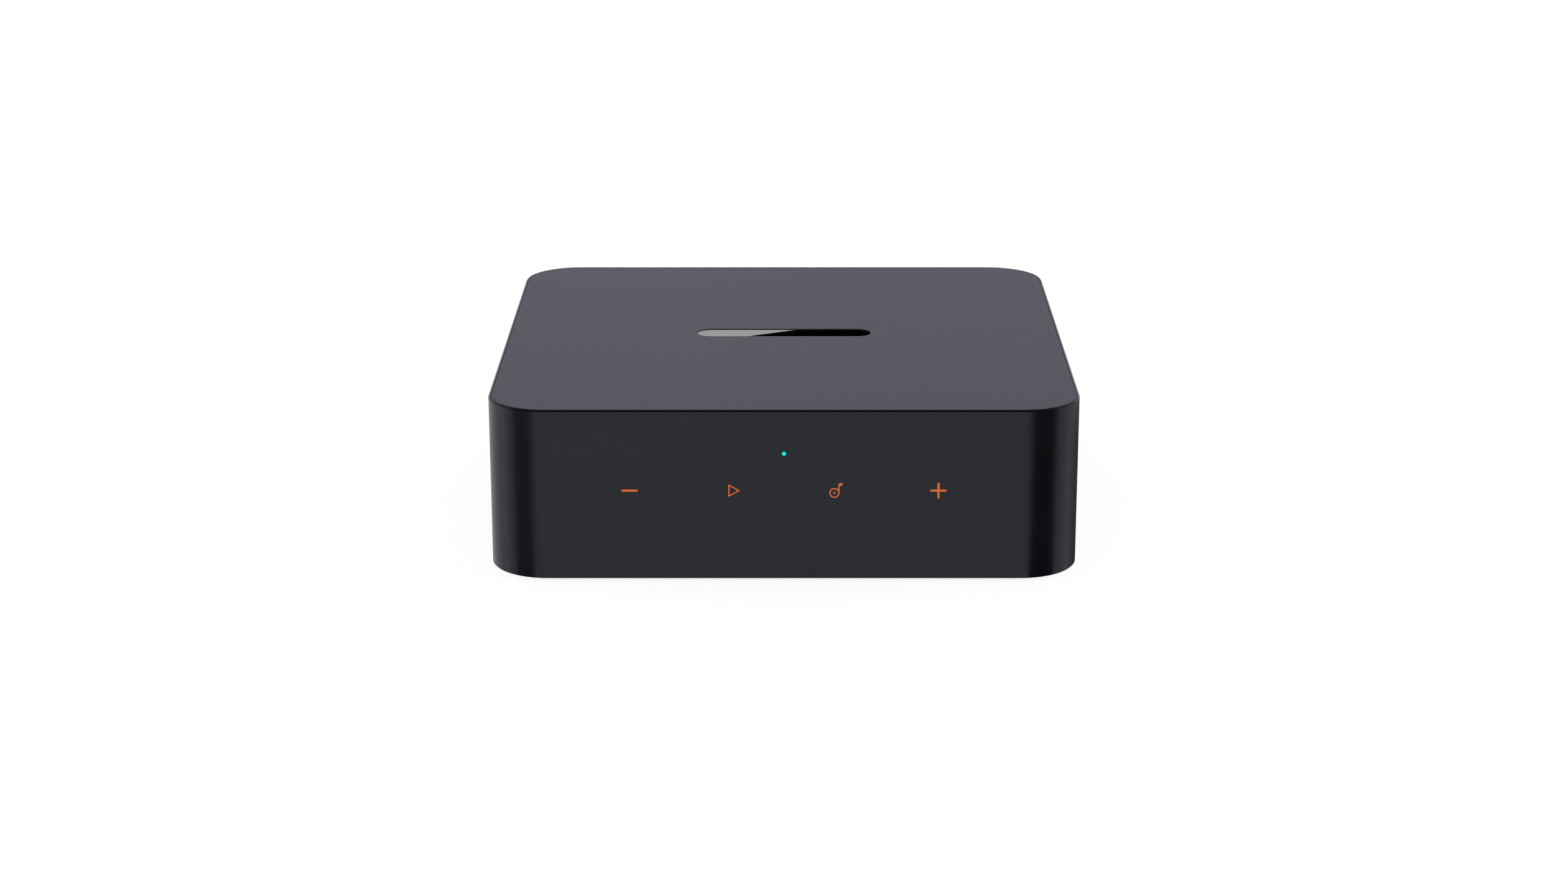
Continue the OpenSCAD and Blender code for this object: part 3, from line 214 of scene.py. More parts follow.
def box_mesh(bm, low, high):
    """A block between two opposite corners."""
    corners = [(low[0], low[2]), (high[0], low[2]), (high[0], high[2]), (low[0], high[2])]
    prism(bm, corners, low[1], high[1])


def mesh_object(name, bm):
    """An object from a finished mesh, with double points merged and its faces turned outwards."""
    bmesh.ops.remove_doubles(bm, verts=bm.verts, dist=SAME_POINT)
    bmesh.ops.recalc_face_normals(bm, faces=bm.faces)
    mesh = bpy.data.meshes.new(name)
    bm.to_mesh(mesh)
    bm.free()
    obj = bpy.data.objects.new(name, mesh)
    scene.collection.objects.link(obj)
    return obj


def combine(obj, other, operation):
    """Joins another solid to this one, or cuts it away, and drops the other."""
    step = obj.modifiers.new("combine", "BOOLEAN")
    step.operation = operation
    step.solver = "EXACT"
    step.object = other
    made = bpy.data.meshes.new_from_object(obj.evaluated_get(bpy.context.evaluated_depsgraph_get()))
    obj.modifiers.clear()
    old = obj.data
    made.name = old.name
    obj.data = made
    bpy.data.meshes.remove(old)
    bpy.data.objects.remove(other)


def dress(obj, finish, stands_for=()):
    """Gives a finished mesh its shading, material and place in the frame."""
    mesh = obj.data
    mesh.materials.clear()
    mesh.materials.append(finish)
    mesh.shade_smooth()
    mesh.set_sharp_from_angle(angle=math.radians(SHARP_TURN))
    weighted = obj.modifiers.new("weighted normals", "WEIGHTED_NORMAL")
    weighted.keep_sharp = True
    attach(obj, "case")
    if stands_for:
        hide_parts(*stands_for)


# Finishes

# Part of a noise's range that is spread over a colour or a number, the detail of broad and of fine
# noise, and the size of the cloudiness of mouldings and metals
NOISE_LOW = 0.3
NOISE_HIGH = 0.7
BROAD_DETAIL = 2.0
FINE_DETAIL = 3.0
MOULD_CLOUD = 14 * MM
METAL_CLOUD = 3 * MM

# Solder mask over its glass weave
WEAVE_PITCH = 1.2 * MM
WEAVE_DEPTH = 0.01 * MM
MASK_GRAIN = 0.4 * MM
MASK_ROUGH = (0.28, 0.42)

# Lit faces: gloss, size of the unevenness, and the shares of the radius where the light starts
# to fade and is gone
LIT_ROUGH = (0.2, 0.3)
LIT_SPECULAR = 0.15
LIT_CLOUD = 0.5 * MM
LIT_FADES = 0.75
LIT_ENDS = 0.95


def grey(value, blue=1.0):
    """A grey, with its blue part made stronger where it is cool."""
    return (value, value, value * blue)


def new_finish(name):
    """A material with its node tree, its main shader and the surface's own coordinates."""
    finish = bpy.data.materials.new(name)
    finish.use_nodes = True
    tree = finish.node_tree
    place = tree.nodes.new("ShaderNodeTexCoord").outputs["Object"]
    return finish, tree, tree.nodes["Principled BSDF"], place


def noise(tree, place, size, detail=FINE_DETAIL, stretch=(1, 1, 1)):
    """Noise whose features are about as large as size, drawn out by stretch."""
    mapping = tree.nodes.new("ShaderNodeMapping")
    mapping.inputs["Scale"].default_value = [1 / s for s in stretch]
    texture = tree.nodes.new("ShaderNodeTexNoise")
    texture.inputs["Scale"].default_value = 1 / size
    texture.inputs["Detail"].default_value = detail
    tree.links.new(place, mapping.inputs["Vector"])
    tree.links.new(mapping.outputs["Vector"], texture.inputs["Vector"])
    return texture.outputs["Fac"]


def spread(tree, value, start, end, low, high, target):
    """Drives a number socket from low to high while a value runs from start to end."""
    span = tree.nodes.new("ShaderNodeMapRange")
    span.inputs["From Min"].default_value = start
    span.inputs["From Max"].default_value = end
    span.inputs["To Min"].default_value = low
    span.inputs["To Max"].default_value = high
    tree.links.new(value, span.inputs["Value"])
    tree.links.new(span.outputs["Result"], target)


def value_between(tree, amount, low, high, target):
    """Drives a number socket between two values by a noise."""
    spread(tree, amount, NOISE_LOW, NOISE_HIGH, low, high, target)


def colour_between(tree, amount, low, high, target):
    """Drives a colour socket between two colours by a noise."""
    ramp = tree.nodes.new("ShaderNodeValToRGB")
    first, last = ramp.color_ramp.elements
    first.position = NOISE_LOW
    last.position = NOISE_HIGH
    first.color = (*low, 1)
    last.color = (*high, 1)
    tree.links.new(amount, ramp.inputs["Fac"])
    tree.links.new(ramp.outputs["Color"], target)


def length_of(tree, vector):
    """The length of a vector."""
    measure = tree.nodes.new("ShaderNodeVectorMath")
    measure.operation = "LENGTH"
    tree.links.new(vector, measure.inputs[0])
    return measure.outputs["Value"]


def relief(tree, height, depth, shader):
    """Small relief of the given depth under the shader."""
    bump = tree.nodes.new("ShaderNodeBump")
    bump.inputs["Strength"].default_value = 1
    bump.inputs["Distance"].default_value = depth
    tree.links.new(height, bump.inputs["Height"])
    tree.links.new(bump.outputs["Normal"], shader.inputs["Normal"])


def moulded(name, low, high, rough, grain, depth, specular=0.5, cloud=MOULD_CLOUD, tint=None):
    """Moulded plastic or rubber: a fine grain, a faint cloudiness and uneven gloss."""
    finish, tree, shader, place = new_finish(name)
    fine = noise(tree, place, grain)
    broad = noise(tree, place, cloud, detail=BROAD_DETAIL)
    colour_between(tree, broad, low, high, shader.inputs["Base Color"])
    value_between(tree, fine, *rough, shader.inputs["Roughness"])
    relief(tree, fine, depth, shader)
    shader.inputs["Specular IOR Level"].default_value = specular
    if tint:
        shader.inputs["Specular Tint"].default_value = (*tint, 1)
    return finish


def insulator(name, low, high):
    """The coloured moulding inside a phono jack."""
    return moulded(name, low, high, rough=(0.22, 0.34), grain=0.3 * MM, depth=0.004 * MM)


def metal(name, low, high, rough, streak, stretch, depth):
    """Plated or rolled metal with fine marks drawn out along one direction."""
    finish, tree, shader, place = new_finish(name)
    marks = noise(tree, place, streak, stretch=stretch)
    broad = noise(tree, place, METAL_CLOUD, detail=BROAD_DETAIL)
    colour_between(tree, broad, low, high, shader.inputs["Base Color"])
    value_between(tree, marks, *rough, shader.inputs["Roughness"])
    relief(tree, marks, depth, shader)
    shader.inputs["Metallic"].default_value = 1.0
    return finish


def circuit_board(name):
    """Green solder mask over a fine glass weave."""
    finish, tree, shader, place = new_finish(name)
    weave = tree.nodes.new("ShaderNodeTexBrick")
    weave.inputs["Scale"].default_value = 1 / WEAVE_PITCH
    weave.inputs["Color1"].default_value = (0.012, 0.085, 0.035, 1)
    weave.inputs["Color2"].default_value = (0.016, 0.110, 0.048, 1)
    weave.inputs["Mortar"].default_value = (0.008, 0.060, 0.026, 1)
    tree.links.new(place, weave.inputs["Vector"])
    tree.links.new(weave.outputs["Color"], shader.inputs["Base Color"])
    fine = noise(tree, place, MASK_GRAIN)
    value_between(tree, fine, *MASK_ROUGH, shader.inputs["Roughness"])
    relief(tree, weave.outputs["Fac"], WEAVE_DEPTH, shader)
    return finish


def lit(name, base, low, high, axis, radius):
    """A face with uneven light behind it, within a radius of an axis along y, and dark round it."""
    finish, tree, shader, place = new_finish(name)
    uneven = noise(tree, place, LIT_CLOUD)
    colour_between(tree, uneven, low, high, shader.inputs["Emission Color"])
    value_between(tree, uneven, *LIT_ROUGH, shader.inputs["Roughness"])
    across = tree.nodes.new("ShaderNodeMapping")
    across.inputs["Scale"].default_value = (1, 0, 1)
    across.inputs["Location"].default_value = (-axis.x, 0, -axis.z)
    tree.links.new(place, across.inputs["Vector"])
    away = length_of(tree, across.outputs["Vector"])
    spread(tree, away, LIT_FADES * radius, LIT_ENDS * radius, 1, 0, shader.inputs["Emission Strength"])
    shader.inputs["Base Color"].default_value = (*base, 1)
    shader.inputs["Specular IOR Level"].default_value = LIT_SPECULAR
    return finish


# Finish of each material slot in the record
FINISH = {
    "case_black": moulded(
        "case_black_satin", low=grey(0.0022, 1.2), high=grey(0.0032, 1.2), rough=(0.25, 0.31),
        grain=0.25 * MM, depth=0.002 * MM, specular=0.333, tint=(0.86, 0.90, 1.0)),
    "top_satin": moulded(
        "top_plate_satin", low=grey(0.0111, 1.3), high=grey(0.0119, 1.3), rough=(0.34, 0.40),
        grain=0.22 * MM, depth=0.003 * MM, specular=0.42),
    "inlay_gloss": moulded(
        "inlay_polish", low=grey(0.0006), high=grey(0.0010), rough=(0.003, 0.007),
        grain=0.6 * MM, depth=0.00001 * MM),
    "foot_rubber": moulded(
        "foot_silicone", low=grey(0.012), high=grey(0.017), rough=(0.66, 0.82),
        grain=0.35 * MM, depth=0.02 * MM, specular=0.2),
    "screw_black": metal(
        "screw_black_oxide", low=grey(0.030), high=grey(0.055), rough=(0.32, 0.48),
        streak=0.15 * MM, stretch=(1, 1, 1), depth=0.004 * MM),
    "steel": metal(
        "tinned_sheet", low=grey(0.50), high=grey(0.60), rough=(0.22, 0.34),
        streak=0.12 * MM, stretch=(1, 12, 1), depth=0.001 * MM),
    "board_green": circuit_board("solder_mask"),
    "jack_black": moulded(
        "jack_black_moulding", low=grey(0.010), high=grey(0.015), rough=(0.36, 0.50),
        grain=0.2 * MM, depth=0.006 * MM),
    "nickel": metal(
        "turned_nickel", low=(0.62, 0.60, 0.56), high=(0.72, 0.70, 0.66), rough=(0.10, 0.20),
        streak=0.1 * MM, stretch=(8, 1, 8), depth=0.0012 * MM),
    "jack_white": insulator("jack_white_moulding", low=(0.72, 0.72, 0.69), high=(0.80, 0.80, 0.77)),
    "jack_red": insulator("jack_red_moulding", low=(0.47, 0.010, 0.014), high=(0.56, 0.016, 0.020)),
    "jack_orange": insulator("jack_orange_moulding", low=(0.68, 0.17, 0.010), high=(0.76, 0.21, 0.016)),
    "contact_gold": metal(
        "gold_flash", low=(0.72, 0.52, 0.19), high=(0.82, 0.62, 0.26), rough=(0.16, 0.28),
        streak=0.1 * MM, stretch=(1, 6, 1), depth=0.001 * MM),
    "shutter_grey": moulded(
        "shutter_moulding", low=grey(0.020), high=grey(0.028), rough=(0.34, 0.46),
        grain=0.2 * MM, depth=0.006 * MM),
    "chip_black": moulded(
        "chip_compound", low=grey(0.014), high=grey(0.020), rough=(0.5, 0.64),
        grain=0.15 * MM, depth=0.008 * MM),
    "light_guide": moulded(
        "milky_guide", low=(0.56, 0.62, 0.54), high=(0.66, 0.72, 0.62), rough=(0.25, 0.36),
        grain=0.4 * MM, depth=0.002 * MM),
    "status_cyan": lit(
        "status_cyan_lens", base=(0.002, 0.02, 0.019), low=(0.0, 0.80, 0.71), high=(0.0, 0.87, 0.78),
        axis=lens_axis, radius=LENS_R),
    "flex_white": moulded(
        "flat_cable_film", low=grey(0.66), high=grey(0.76), rough=(0.3, 0.42),
        grain=0.5 * MM, depth=0.002 * MM),
    "pad_blue": moulded(
        "gap_filler", low=(0.28, 0.37, 0.52), high=(0.36, 0.46, 0.62), rough=(0.6, 0.75),
        grain=0.4 * MM, depth=0.01 * MM),
    "sink_black": metal(
        "black_anodise", low=grey(0.020), high=grey(0.032), rough=(0.36, 0.48),
        streak=0.12 * MM, stretch=(1, 10, 1), depth=0.002 * MM),
}

# Finishes of single parts
PANEL_FINISH = moulded(
    "panel_black_grain", low=grey(0.0060, 1.1), high=grey(0.0085, 1.1), rough=(0.38, 0.60),
    grain=0.3 * MM, depth=0.06 * MM, specular=0.4)
EMITTER_FINISH = lit(
    "emitter_red_glow", base=grey(0.017), low=(0.75, 0.010, 0.004), high=(0.90, 0.016, 0.006),
    axis=emitter_axis, radius=GUIDE_R)
MARK_FINISH = moulded(
    "mark_orange_ink", low=(0.70, 0.148, 0.028), high=(0.77, 0.162, 0.034), rough=(0.45, 0.6),
    grain=0.15 * MM, depth=0.002 * MM, specular=0.08, cloud=1.5 * MM)

# Carried-over parts

# Edge radius of those that show
SOFT_EDGES = {
    "optical_out_housing": 0.12 * MM,
    "optical_in_housing": 0.12 * MM,
    "optical_out_shutter": 0.1 * MM,
    "optical_in_shutter": 0.1 * MM,
    "trigger_jack_body": 0.12 * MM,
    "lan_body": 0.1 * MM,
    "lan_shield": 0.05 * MM,
    "lan_lights": 0.08 * MM,
    "power_socket_shell": 0.06 * MM,
    "power_socket_tongue": 0.04 * MM,
    "case_screws": 0.05 * MM,
    "panel_screws": 0.05 * MM,
}

# Distance of points that are welded, degrees within which faces count as one, degrees above which
# an edge is rounded, and the round's segments
WELD_GAP = 0.001 * MM
FLAT_TURN = 0.5
SOFT_TURN = 40
SOFT_SEGMENTS = 2


def soften(obj, radius, whole_faces=False):
    """Rounds a carried-over part's edges a little, as moulding and tumbling leave them."""
    weld = obj.modifiers.new("weld", "WELD")
    weld.merge_threshold = WELD_GAP
    if whole_faces:
        flat = obj.modifiers.new("whole faces", "DECIMATE")
        flat.decimate_type = "DISSOLVE"
        flat.angle_limit = math.radians(FLAT_TURN)
    bevel = obj.modifiers.new("soft edges", "BEVEL")
    bevel.width = radius
    bevel.segments = SOFT_SEGMENTS
    bevel.limit_method = "ANGLE"
    bevel.angle_limit = math.radians(SOFT_TURN)
    bevel.use_clamp_overlap = False
    bevel.harden_normals = True


def paint(node, finish):
    """Gives a carried-over part its finish."""
    nodes[node].material_slots[0].material = finish


def carried_over_parts():
    """Finishes every part of the frame, and rounds the edges of those that show."""
    for subpart in frame["record"]["subparts"]:
        paint(subpart["node"], FINISH[subpart["material_slot"]])
    for name in ("rear_panel", "base_plate"):
        paint(name, PANEL_FINISH)
        soften(nodes[name], PANEL_EDGE_R, whole_faces=True)
    for name, radius in SOFT_EDGES.items():
        soften(nodes[name], radius)
    paint("optical_out_emitter", EMITTER_FINISH)


# Housing


def add_bosses(shell, floor, deck_low):
    """Four screw bosses under the deck, each with two webs to the walls and a pilot hole."""
    web_l = BOSS_INSET - WALL + SINK
    for sx, sy in QUARTERS:
        x = sx * (housing_high.x - BOSS_INSET)
        y = sy * (housing_high.y - BOSS_INSET)
        boss = bmesh.new()
        column(boss, circle_points(x, y, BOSS_R, ROUND_STEPS), floor, deck_low + SINK)
        combine(shell, mesh_object("boss", boss), "UNION")
        for half_x, half_y in ((web_l / 2, WEB_T / 2), (WEB_T / 2, web_l / 2)):
            mid_x = x + (sx * half_x if half_x > half_y else 0)
            mid_y = y + (sy * half_y if half_y > half_x else 0)
            web = bmesh.new()
            box_mesh(web, (mid_x - half_x, mid_y - half_y, floor + WEB_RISE),
                     (mid_x + half_x, mid_y + half_y, deck_low + SINK))
            combine(shell, mesh_object("web", web), "UNION")
        pilot = bmesh.new()
        column(pilot, circle_points(x, y, PILOT_R, HOLE_STEPS), floor - PAST, floor + PILOT_L)
        combine(shell, mesh_object("pilot", pilot), "DIFFERENCE")


def add_stakes(shell):
    """Four posts through the touch board, with their heads melted over it."""
    x = touch_high.x - STAKE_INSET
    low = touch_low.z + STAKE_INSET
    high = touch_high.z - STAKE_INSET
    post_span = (STAKE_R, front_y + WALL - SINK, touch_high.y + SINK / 2)
    head_span = (STAKE_HEAD_R, touch_high.y, touch_high.y + STAKE_HEAD_T)
    for post_x, post_z in ((-x, low), (x, low), (-x, high), (x, high)):
        for radius, start, end in (post_span, head_span):
            post = bmesh.new()
            prism(post, circle_points(post_x, post_z, radius, HOLE_STEPS), start, end)
            combine(shell, mesh_object("post", post), "UNION")


def cut_openings(shell):
    """The rear panel's pocket and window, and the hole for the status lens."""
    bottom = housing_low.z
    pocket = bmesh.new()
    box_mesh(pocket, (panel_low.x - SLIP, panel_low.y - PAST, bottom - PAST),
             (panel_high.x + SLIP, panel_high.y, panel_high.z + SLIP))
    combine(shell, mesh_object("pocket", pocket), "DIFFERENCE")
    window = bmesh.new()
    box_mesh(window, (panel_low.x + PANEL_LIP, panel_high.y - PAST, bottom - PAST),
             (panel_high.x - PANEL_LIP, housing_high.y + PAST, panel_high.z - PANEL_LIP))
    combine(shell, mesh_object("window", window), "DIFFERENCE")
    hole = bmesh.new()
    rim = circle_points(0, lens_axis.z, LENS_R + SNUG, HOLE_STEPS)
    prism(hole, rim, front_y - PAST, front_y + WALL + PAST)
    combine(shell, mesh_object("light_hole", hole), "DIFFERENCE")


def housing_shell():
    """The housing's walls and deck swept round its outline, with all that stands on them."""
    top, bottom = housing_high.z, housing_low.z
    deck_top = plate_low.z
    section = [
        (EDGE_CHAMFER + RIM_FLAT, deck_top),
        (EDGE_CHAMFER + RIM_FLAT, top),
        (EDGE_CHAMFER, top),
        (0, top - EDGE_CHAMFER),
        (0, bottom + BOTTOM_CHAMFER),
        (BOTTOM_CHAMFER, bottom),
        (WALL, bottom),
        (WALL, deck_top - DECK),
    ]
    bm = bmesh.new()
    around = outline(housing_high.x, housing_high.y, CORNER_R, CORNER_STEPS)
    capped(bm, loops_along(bm, around, section))
    shell = mesh_object("housing_shell", bm)
    add_bosses(shell, bottom + BASE_T, deck_top - DECK)
    add_stakes(shell)
    cut_openings(shell)
    dress(shell, FINISH["case_black"], ["upper_housing"])


# Top plate and inlay


def top_plate():
    """The satin plate with a softened edge and a pocket for the inlay."""
    bm = bmesh.new()
    edge = round_edge(PLATE_EDGE_R, plate_high.z, PLATE_EDGE_STEPS)
    radius = CORNER_R - (housing_high.x - plate_high.x)
    around = outline(plate_high.x, plate_high.y, radius, CORNER_STEPS)
    outer = loops_along(bm, around, [(0, plate_low.z)] + edge)
    bridge(bm, outer)
    bm.faces.new(outer[0])
    pocket_edge = [(-inset, height) for inset, height in edge]
    pill = outline(inlay_high.x + SNUG, inlay_high.y + SNUG, inlay_high.y + SNUG, POCKET_STEPS)
    inner = loops_along(bm, pill, [(0, inlay_low.z)] + pocket_edge)
    bridge(bm, inner)
    bm.faces.new(inner[0])
    bmesh.ops.remove_doubles(bm, verts=bm.verts, dist=SAME_POINT)
    rims = [e for e in bm.edges if e.is_boundary]
    bmesh.ops.triangle_fill(bm, edges=rims, use_beauty=True, normal=(0, 0, 1))
    dress(mesh_object("top_plate_satin", bm), FINISH["top_satin"], ["top_plate"])


def inlay():
    """The polished inlay with a rounded edge that catches the light."""
    bm = bmesh.new()
    pill = outline(inlay_high.x, inlay_high.y, inlay_high.y, INLAY_STEPS)
    edge = round_edge(INLAY_EDGE_R, inlay_high.z, INLAY_EDGE_STEPS)
    capped(bm, loops_along(bm, pill, [(0, inlay_low.z)] + edge))
    dress(mesh_object("inlay_polished", bm), FINISH["inlay_gloss"], ["mirror_inlay"])


# Front symbols

# Ink, the strokes of less and more, the inner symbols' distance from the middle, and how far all
# sit above the middle of their touch pads
INK_T = 0.03 * MM
BAR_L = 3.9 * MM
BAR_W = 0.5 * MM
BAR_END_STEPS = 10
MARK_INNER_X = 12 * MM
MARK_RISE = 0.13 * MM

# Play: a triangle's width and height, its line, and its shift towards the middle
PLAY_W = 2.37 * MM
PLAY_H = 2.7 * MM
PLAY_LINE = 0.26 * MM
PLAY_SHIFT = 0.27 * MM
PLAY_CORNER_STEPS = 8

# Note: ring and dot, their shift towards the middle and down, the stem's top over the ring's middle,
# and the leaf's height, reach, lower and upper round
NOTE_R = 1.2 * MM
NOTE_LINE = 0.27 * MM
NOTE_DOT_R = 0.25 * MM
NOTE_SHIFT = 0.19 * MM
NOTE_DROP = 0.57 * MM
STEM_TOP = 2.42 * MM
LEAF_H = 0.68 * MM
LEAF_REACH = 1.9 * MM
LEAF_LOWER_R = 0.4 * MM
LEAF_LOWER_STEPS = 6
LEAF_UPPER_R = 0.5 * MM
LEAF_UPPER_STEPS = 8

mark_z = (pads_low.z + pads_high.z) / 2 + MARK_RISE
mark_outer_x = pads_high.x - (pads_high.z - pads_low.z) / 2


def ink(name, points):
    """A layer of ink on the front, from a closed outline."""
    bm = bmesh.new()
    prism(bm, points, front_y - INK_T, front_y)
    return mesh_object(name, bm)


def cut_out(mark, points):
    """Cuts a closed outline out of a layer of ink."""
    bm = bmesh.new()
    prism(bm, points, front_y - PAST, front_y + PAST)
    combine(mark, mesh_object("inner", bm), "DIFFERENCE")


def bar(x, upright):
    """The outline of a stroke with round ends, centred, along x or upright."""
    reach = (BAR_L - BAR_W) / 2
    right_end = arc_points(reach, 0, BAR_W / 2, -90, 90, BAR_END_STEPS)
    left_end = arc_points(-reach, 0, BAR_W / 2, 90, 270, BAR_END_STEPS)
    ends = right_end + left_end
    return [(x - b, mark_z + a) if upright else (x + a, mark_z + b) for a, b in ends]


def minus_mark():
    """Less: a level stroke."""
    dress(ink("mark_minus", bar(-mark_outer_x, upright=False)), MARK_FINISH)


def plus_mark():
    """More: a level and an upright stroke."""
    mark = ink("mark_plus", bar(mark_outer_x, upright=False))
    combine(mark, ink("stroke", bar(mark_outer_x, upright=True)), "UNION")
    dress(mark, MARK_FINISH)


def play_mark():
    """Play: an outlined triangle with rounded corners."""
    left = PLAY_SHIFT - MARK_INNER_X - PLAY_W / 2
    tip = left + PLAY_W
    half = PLAY_H / 2
    slope = math.degrees(math.atan2(PLAY_W, half))
    corners = (
        (left, mark_z - half, 180, 270 + slope),
        (tip, mark_z, slope - 90, 90 - slope),
        (left, mark_z + half, 90 - slope, 180),
    )
    outer = [
        point
        for x, z, start, end in corners
        for point in arc_points(x, z, PLAY_LINE / 2, start, end, PLAY_CORNER_STEPS)
    ]
    mark = ink("mark_play", outer)
    inner_left = left + PLAY_LINE / 2
    inner_tip = tip - PLAY_LINE / 2 * math.hypot(PLAY_W, half) / half
    inner_half = (inner_tip - inner_left) * half / PLAY_W
    lower, upper = mark_z - inner_half, mark_z + inner_half
    cut_out(mark, [(inner_left, lower), (inner_tip, mark_z), (inner_left, upper)])
    dress(mark, MARK_FINISH)


def note_mark():
    """Note: a ring with a dot in it, a stem and a small leaf at the stem's top."""
    x = MARK_INNER_X - NOTE_SHIFT
    z = mark_z - NOTE_DROP
    inner = NOTE_R - NOTE_LINE
    leaf_low = z + STEM_TOP - LEAF_H
    lower_round = arc_points(
        x + LEAF_REACH - LEAF_LOWER_R, leaf_low + LEAF_LOWER_R, LEAF_LOWER_R, -90, -10, LEAF_LOWER_STEPS)
    upper_round = arc_points(
        x + inner + LEAF_UPPER_R, z + STEM_TOP - LEAF_UPPER_R, LEAF_UPPER_R, 90, 180, LEAF_UPPER_STEPS)
    stem_foot = [(x + inner, z), (x + NOTE_R, z), (x + NOTE_R, leaf_low)]
    leaf_tip = [(x + LEAF_REACH, z + STEM_TOP)]
    mark = ink("mark_note", circle_points(x, z, NOTE_R, ROUND_STEPS))
    cut_out(mark, circle_points(x, z, inner, ROUND_STEPS))
    combine(mark, ink("stem", stem_foot + lower_round + leaf_tip + upper_round), "UNION")
    combine(mark, ink("dot", circle_points(x, z, NOTE_DOT_R, DOT_STEPS)), "UNION")
    dress(mark, MARK_FINISH)


# Status lens


def status_lens():
    """The light pipe with a slightly domed lens at the front and a wider root behind the wall."""
    root_r = (pipe_high.z - pipe_low.z) / 2
    wall_in = front_y + WALL
    turns = [math.radians(90) * step / DOME_STEPS for step in range(DOME_STEPS + 1)]
    dome = [(LENS_R * math.sin(a), front_y - LENS_DOME * math.cos(a)) for a in turns]
    section = dome + [(LENS_R, wall_in), (root_r, wall_in), (root_r, pipe_high.y), (0, pipe_high.y)]
    bm = bmesh.new()
    chain = [bm.verts.new((r, y, lens_axis.z)) for r, y in section]
    edges = [bm.edges.new(pair) for pair in zip(chain, chain[1:])]
    bmesh.ops.spin(bm, geom=chain + edges, cent=(0, 0, lens_axis.z), axis=(0, 1, 0),
                   angle=2 * math.pi, steps=HOLE_STEPS, use_merge=True)
    dress(mesh_object("status_lens", bm), FINISH["status_cyan"], ["status_light_pipe"])


# Flap springs


def leaf_spring(spring):
    """A strip with its foot on the roof and its blade bent down to the flap."""
    low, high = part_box(spring)
    bend_y = low.y + SPRING_FOOT
    drop = high.z - SPRING_T - low.z
    upper = [(low.y, high.z)]
    for step in range(SPRING_STEPS + 1):
        along = step / SPRING_STEPS
        upper.append((bend_y + along * (high.y - bend_y), high.z - drop * along ** 2 * (3 - along) / 2))
    section = upper + [(y, z - SPRING_T) for y, z in reversed(upper)]
    bm = bmesh.new()
    closed(bm, [(low.x, y, z) for y, z in section], [(high.x, y, z) for y, z in section])
    leaf = mesh_object(spring + "_leaf", bm)
    dress(leaf, FINISH["steel"], [spring])
    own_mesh(leaf)


# Studio

# Floor: half its side, the gap under the foot, its own light near the object and far from it, the
# distances between which the one turns into the other, and its tones for the part that takes shadows
# and for the light that it throws back
FLOOR_HALF = 6.0
FLOOR_GAP = 0.1 * MM
FLOOR_NEAR = 0.6
FLOOR_FAR = 1.8
FLOOR_NEAR_LIGHT = 0.86
FLOOR_FAR_LIGHT = 1
FLOOR_SHADOW_TONE = 0.17
FLOOR_BOUNCE_TONE = 0.6

# Flags by a corner: which side, lift over the floor, length, length beside the object, how far a
# front flag is bent up, steps, how much bluer than grey they are, and by how many degrees the
# camera sees a corner from the side
LEFT = -1
RIGHT = 1
FLAG_LIFT = 0.02 * MM
FLAG_REACH = 0.4
REAR_REACH = 0.16
FLAG_RISE = 0.08
FLAG_STEPS = 8
FLAG_BLUE = 1.08
CORNER_VIEW = 5.5

# Painted shade under the housing's lower edge, a black band on the floor that its chamfer mirrors in
# place of the contact shadow: its lift, and how far it runs out and in from the outline
SHADE_BAND_LIFT = 0.04 * MM
SHADE_BAND_OUT = 0.3 * MM
SHADE_BAND_IN = 2.0 * MM

# Cards behind the object: their place and half sizes, the slanted line where they meet, and tones
CARD_Y = 2.0
CARD_Z = 0.5766
CARD_HALF_W = 0.15
CARD_HALF_H = 0.02
CARD_MEET_X = -0.0023
CARD_LEAN = -7.1
CARD_BRIGHT = 1.28
CARD_DARK = 0.0

# World: height of a direction and colour there, cool near the horizon, neutral above, dark on top
WORLD_HORIZON = (0.16, (0.615, 0.615, 0.83, 1))
WORLD_MIDDLE = (0.36, (0.583, 0.585, 0.618, 1))
WORLD_UPPER = (0.55, (0.572, 0.574, 0.604, 1))
WORLD_CEILING = (0.85, (0.02, 0.02, 0.024, 1))

# Lamps round the object, with their rise in degrees, and one under it, whose direction leans a
# little so that its turn is a definite one
LAMP_RISE = 35
LAMP_FAR = 1.6
LAMP_W = 1.0
LAMP_H = 0.6
LAMP_WATTS = 10
UNDER_LAMP_WAY = (0, 0.001, -1)
UNDER_LAMP_FAR = 1.2
UNDER_LAMP_SIDE = 1.0
UNDER_LAMP_WATTS = 9

# Camera of the photograph, fitted to the body's outline: sensor and lens in millimetres, place,
# degrees that it looks down, and what it sees between
CAMERA_SENSOR = 36
CAMERA_LENS = 70.249
CAMERA_PLACE = (0, -0.75207, 0.24344)
CAMERA_DOWN = 17.025
CAMERA_FROM = 0.01
CAMERA_TO = 50


def stage_finish(name):
    """A stage material with an empty node tree, whose glow isn't sampled like a lamp."""
    made = bpy.data.materials.new(name)
    made.use_nodes = True
    made.node_tree.nodes.clear()
    made.cycles.emission_sampling = "NONE"
    return made, made.node_tree


def show(tree, shader):
    """Puts a shader on the surface."""
    out = tree.nodes.new("ShaderNodeOutputMaterial")
    tree.links.new(shader, out.inputs["Surface"])


def larger(tree, first, second):
    """The larger of two numbers."""
    made = tree.nodes.new("ShaderNodeMath")
    made.operation = "MAXIMUM"
    tree.links.new(first, made.inputs[0])
    tree.links.new(second, made.inputs[1])
    return made.outputs["Value"]


